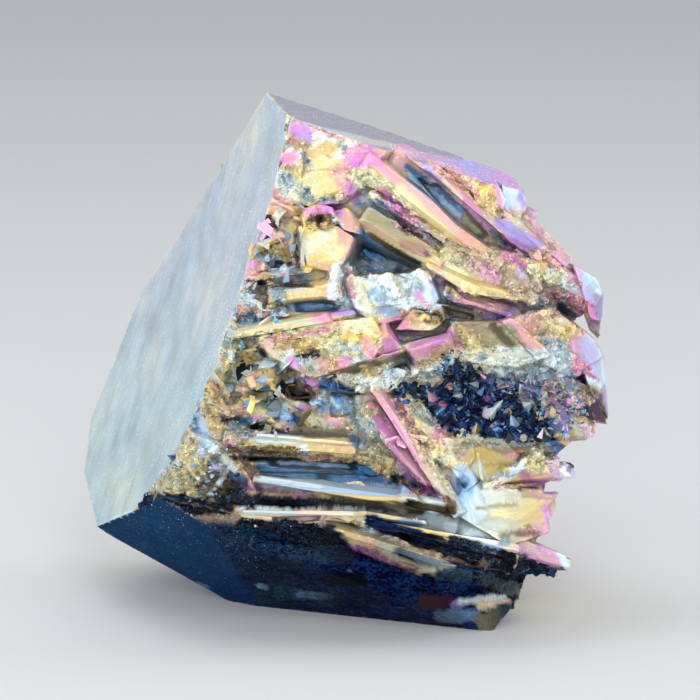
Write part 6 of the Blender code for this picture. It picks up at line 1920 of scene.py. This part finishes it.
# %% Line the pocket with crystals
DRUSE_COUNT = 1100
DRUSE_WIDTH = (0.3, 0.95)
DRUSE_HEIGHT = (1.1, 1.7)
crust_film = film_material(
    "pocket_crust_film", slot_roughness=0.05, metal=0.4, cell_scale=2600.0, bump=0.1, specular=0.7)
bowl_points, bowl_triangles = bowl_shell()
bowl_places = bowl_points @ pocket_matrix.T + np.array(POCKET_CENTRE)
druse = Grains(61)
druse.places.append(bowl_places)
druse.triangles.append(bowl_triangles)
bowl_x, bowl_y = to_chart(bowl_places[bowl_triangles].mean(1))
bowl_pale = np.array([pale_share(x, y) for x, y in zip(bowl_x, bowl_y)])
bowl_coat = coat_of_film(0.88 - 0.3 * bowl_pale, 0.9 - 0.2 * bowl_pale, 0.25 * bowl_pale, 0.6)
druse.coats.append(bowl_coat)
druse.grains.append(bowl_places * 1.0)
druse.count = len(bowl_places)
for _ in range(DRUSE_COUNT):
    around = druse.rng.uniform(0, math.tau)
    down = druse.rng.uniform(-1.0, BOWL_RIM)
    ring = math.sqrt(1 - down * down)
    spot = np.array([ring * math.cos(around), ring * math.sin(around), down])
    place = pocket_matrix @ (spot * BOWL_INNER) + np.array(POCKET_CENTRE)
    axis = druse_axis(druse.rng, np.linalg.inv(pocket_matrix).T @ -spot)
    width = druse.rng.uniform(*DRUSE_WIDTH)
    size = (width, width, width * druse.rng.uniform(*DRUSE_HEIGHT))
    shape = druse.rng.choice(DRUSE_SHAPES)
    x, y = to_chart(place[None])
    druse.add(shape, place, axis, size, druse_coat(druse.rng, pale_share(x[0], y[0]), shape[1]))
crust_places, crust_triangles = np.vstack(druse.places), np.vstack(druse.triangles)
crust_tree = BVHTree.FromPolygons(crust_places.tolist(), crust_triangles.tolist())
druse_piece = druse.build("pocket_druse_crystals", crust_film)
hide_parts("pocket_druse")

# %% [markdown]
# ## Druse over the rim
# The little crystals spill over the rim of the pocket, mostly to the right and above it, and there
# they turn pink, tan and grey.

# %% Grow the rim crystals
RIM_ZONES = {
    "rim_right_top": (505, 382, 572, 388, 8, 300, "steel", 0.12),
    "rim_right": (548, 392, 578, 406, 11, 260, "steel", 0.14),
    "rim_left_lobe": (446, 364, 474, 382, 9, 240, "navy", 0.08),
    "rim_top": (470, 384, 510, 388, 5, 120, "navy", 0.1),
    "rim_left_tail": (404, 388, 444, 400, 7, 130, "navy", 0.12),
    "rim_left": (430, 392, 446, 414, 7, 150, "navy", 0.1),
    "rim_low_left": (440, 414, 462, 430, 6, 130, "navy", 0.1),
    "rim_low": (462, 430, 548, 438, 4, 150, "navy", 0.12),
    "rim_low_right": (545, 412, 566, 432, 8, 140, "steel", 0.14),
    "stray": (394, 386, 404, 396, 6, 30, "navy", 0.12),
}
POINT_WIDTH = 0.85
POINT_HEIGHT = 1.9
POINT_PAINTED_SHADING = (0.2, 1.25)
POINT_PAINTED_LIGHT_GAIN = 1.15
POINT_RAISE = Vector((0, 0, 0.35))
SIX_SIDED_FROM = 0.65
RIM_WIDTH = (0.2, 0.7)
RIM_HEIGHT = (0.9, 1.4)
RIM_PALE = 0.8
rim = Grains(67)
for x, y, width, tone_name, light, milk in DRUSE_POINTS.values():
    place = land_on(crust_tree, x, y)[0] or land_on(skin_bvh, x, y)[0]
    axis = Vector((rim.rng.gauss(0, 0.35), 0.3 + rim.rng.gauss(0, 0.3), 1.0)).normalized()
    shape = DRUSE_SHAPES[0] if width > SIX_SIDED_FROM else DRUSE_SHAPES[1]
    # Painted light and shade: each point is lit above its film, its sides lighter and darker.
    own = sided(rim.rng, coat_of_film(TONE[tone_name], light * POINT_PAINTED_LIGHT_GAIN, milk, 0.0), shape[1], POINT_PAINTED_SHADING)
    size = (width * POINT_WIDTH, width * POINT_WIDTH, width * POINT_HEIGHT)
    rim.add(shape, place + POINT_RAISE, axis, size, own)
for zone in RIM_ZONES.values():
    count, tone_name, spread = zone[5:]
    for _ in range(count):
        place, normal, _, _ = land_on(skin_bvh, *spot_in_zone(rim.rng, zone))
        if place is None:
            continue
        width = rim.rng.uniform(*RIM_WIDTH)
        axis = druse_axis(rim.rng, normal)
        shape = rim.rng.choice(DRUSE_SHAPES)
        x, y = to_chart(np.array(place)[None])
        rim_pale = pale_share(x[0], y[0]) * RIM_PALE
        own = druse_coat(rim.rng, rim_pale, shape[1], (TONE[tone_name], spread))
        rim.add(shape, place, axis, (width, width, width * rim.rng.uniform(*RIM_HEIGHT)), own)
rim.build("rim_crystals", quartz)

# %% [markdown]
# ## Light, floor and air
# A pale floor, a pale room, and soft lamps: a large one in front, two above, and a small one at each
# side, so that every facet finds something bright or something dim to mirror.

# %% Floor, lamps and world
FLOOR_COLOUR = (0.80, 0.80, 0.79, 1)
FLOOR_ROUGH = 0.9
FLOOR_HALF = 2.0
ROOM_COLOUR = (0.80, 0.84, 0.88, 1)
ROOM_LIGHT = 0.58
STONE_MIDDLE = Vector((0.0, 0.0, 0.02))
LAMPS = {
    "key_lamp": ((0.06, -0.30, 0.26), 0.18, 0.30, (1.0, 0.98, 0.95)),
    "front_lamp": ((-0.03, -0.44, 0.13), 0.30, 0.66, (1.0, 1.0, 1.0)),
    "top_lamp": ((-0.10, 0.02, 0.34), 0.22, 0.28, (0.96, 0.98, 1.0)),
    "left_lamp": ((-0.32, -0.12, 0.14), 0.16, 0.26, (0.92, 0.97, 1.0)),
    "right_lamp": ((0.30, 0.05, 0.10), 0.12, 0.25, (0.85, 0.92, 1.0)),
}


def lamp(name, place, size, power, colour):
    """A square soft lamp that looks at the stone."""
    data = bpy.data.lights.new(name, "AREA")
    data.size = size
    data.energy = power
    data.color = colour
    light = bpy.data.objects.new(name, data)
    light.location = place
    light.rotation_euler = (STONE_MIDDLE - Vector(place)).to_track_quat("-Z", "Y").to_euler()
    bpy.context.scene.collection.objects.link(light)


for name, (place, size, power, colour) in LAMPS.items():
    lamp(name, place, size, power, colour)
world = bpy.data.worlds.new("pale_room")
world.use_nodes = True
air = world.node_tree.nodes["Background"]
air.inputs["Color"].default_value = ROOM_COLOUR
air.inputs["Strength"].default_value = ROOM_LIGHT
bpy.context.scene.world = world
bpy.context.scene.view_settings.view_transform = "Standard"

floor_mesh = bpy.data.meshes.new("floor")
floor_corners = [(x * FLOOR_HALF, y * FLOOR_HALF, 0) for x, y in ((-1, -1), (1, -1), (1, 1), (-1, 1))]
floor_mesh.from_pydata(floor_corners, [], [(0, 1, 2, 3)])
floor = bpy.data.objects.new("floor", floor_mesh)
bpy.context.scene.collection.objects.link(floor)
floor_material = bpy.data.materials.new("pale_floor")
floor_material.use_nodes = True
floor_shader = floor_material.node_tree.nodes["Principled BSDF"]
floor_shader.inputs["Base Color"].default_value = FLOOR_COLOUR
floor_shader.inputs["Roughness"].default_value = FLOOR_ROUGH
floor_mesh.materials.append(floor_material)
print("lamps and floor in place")
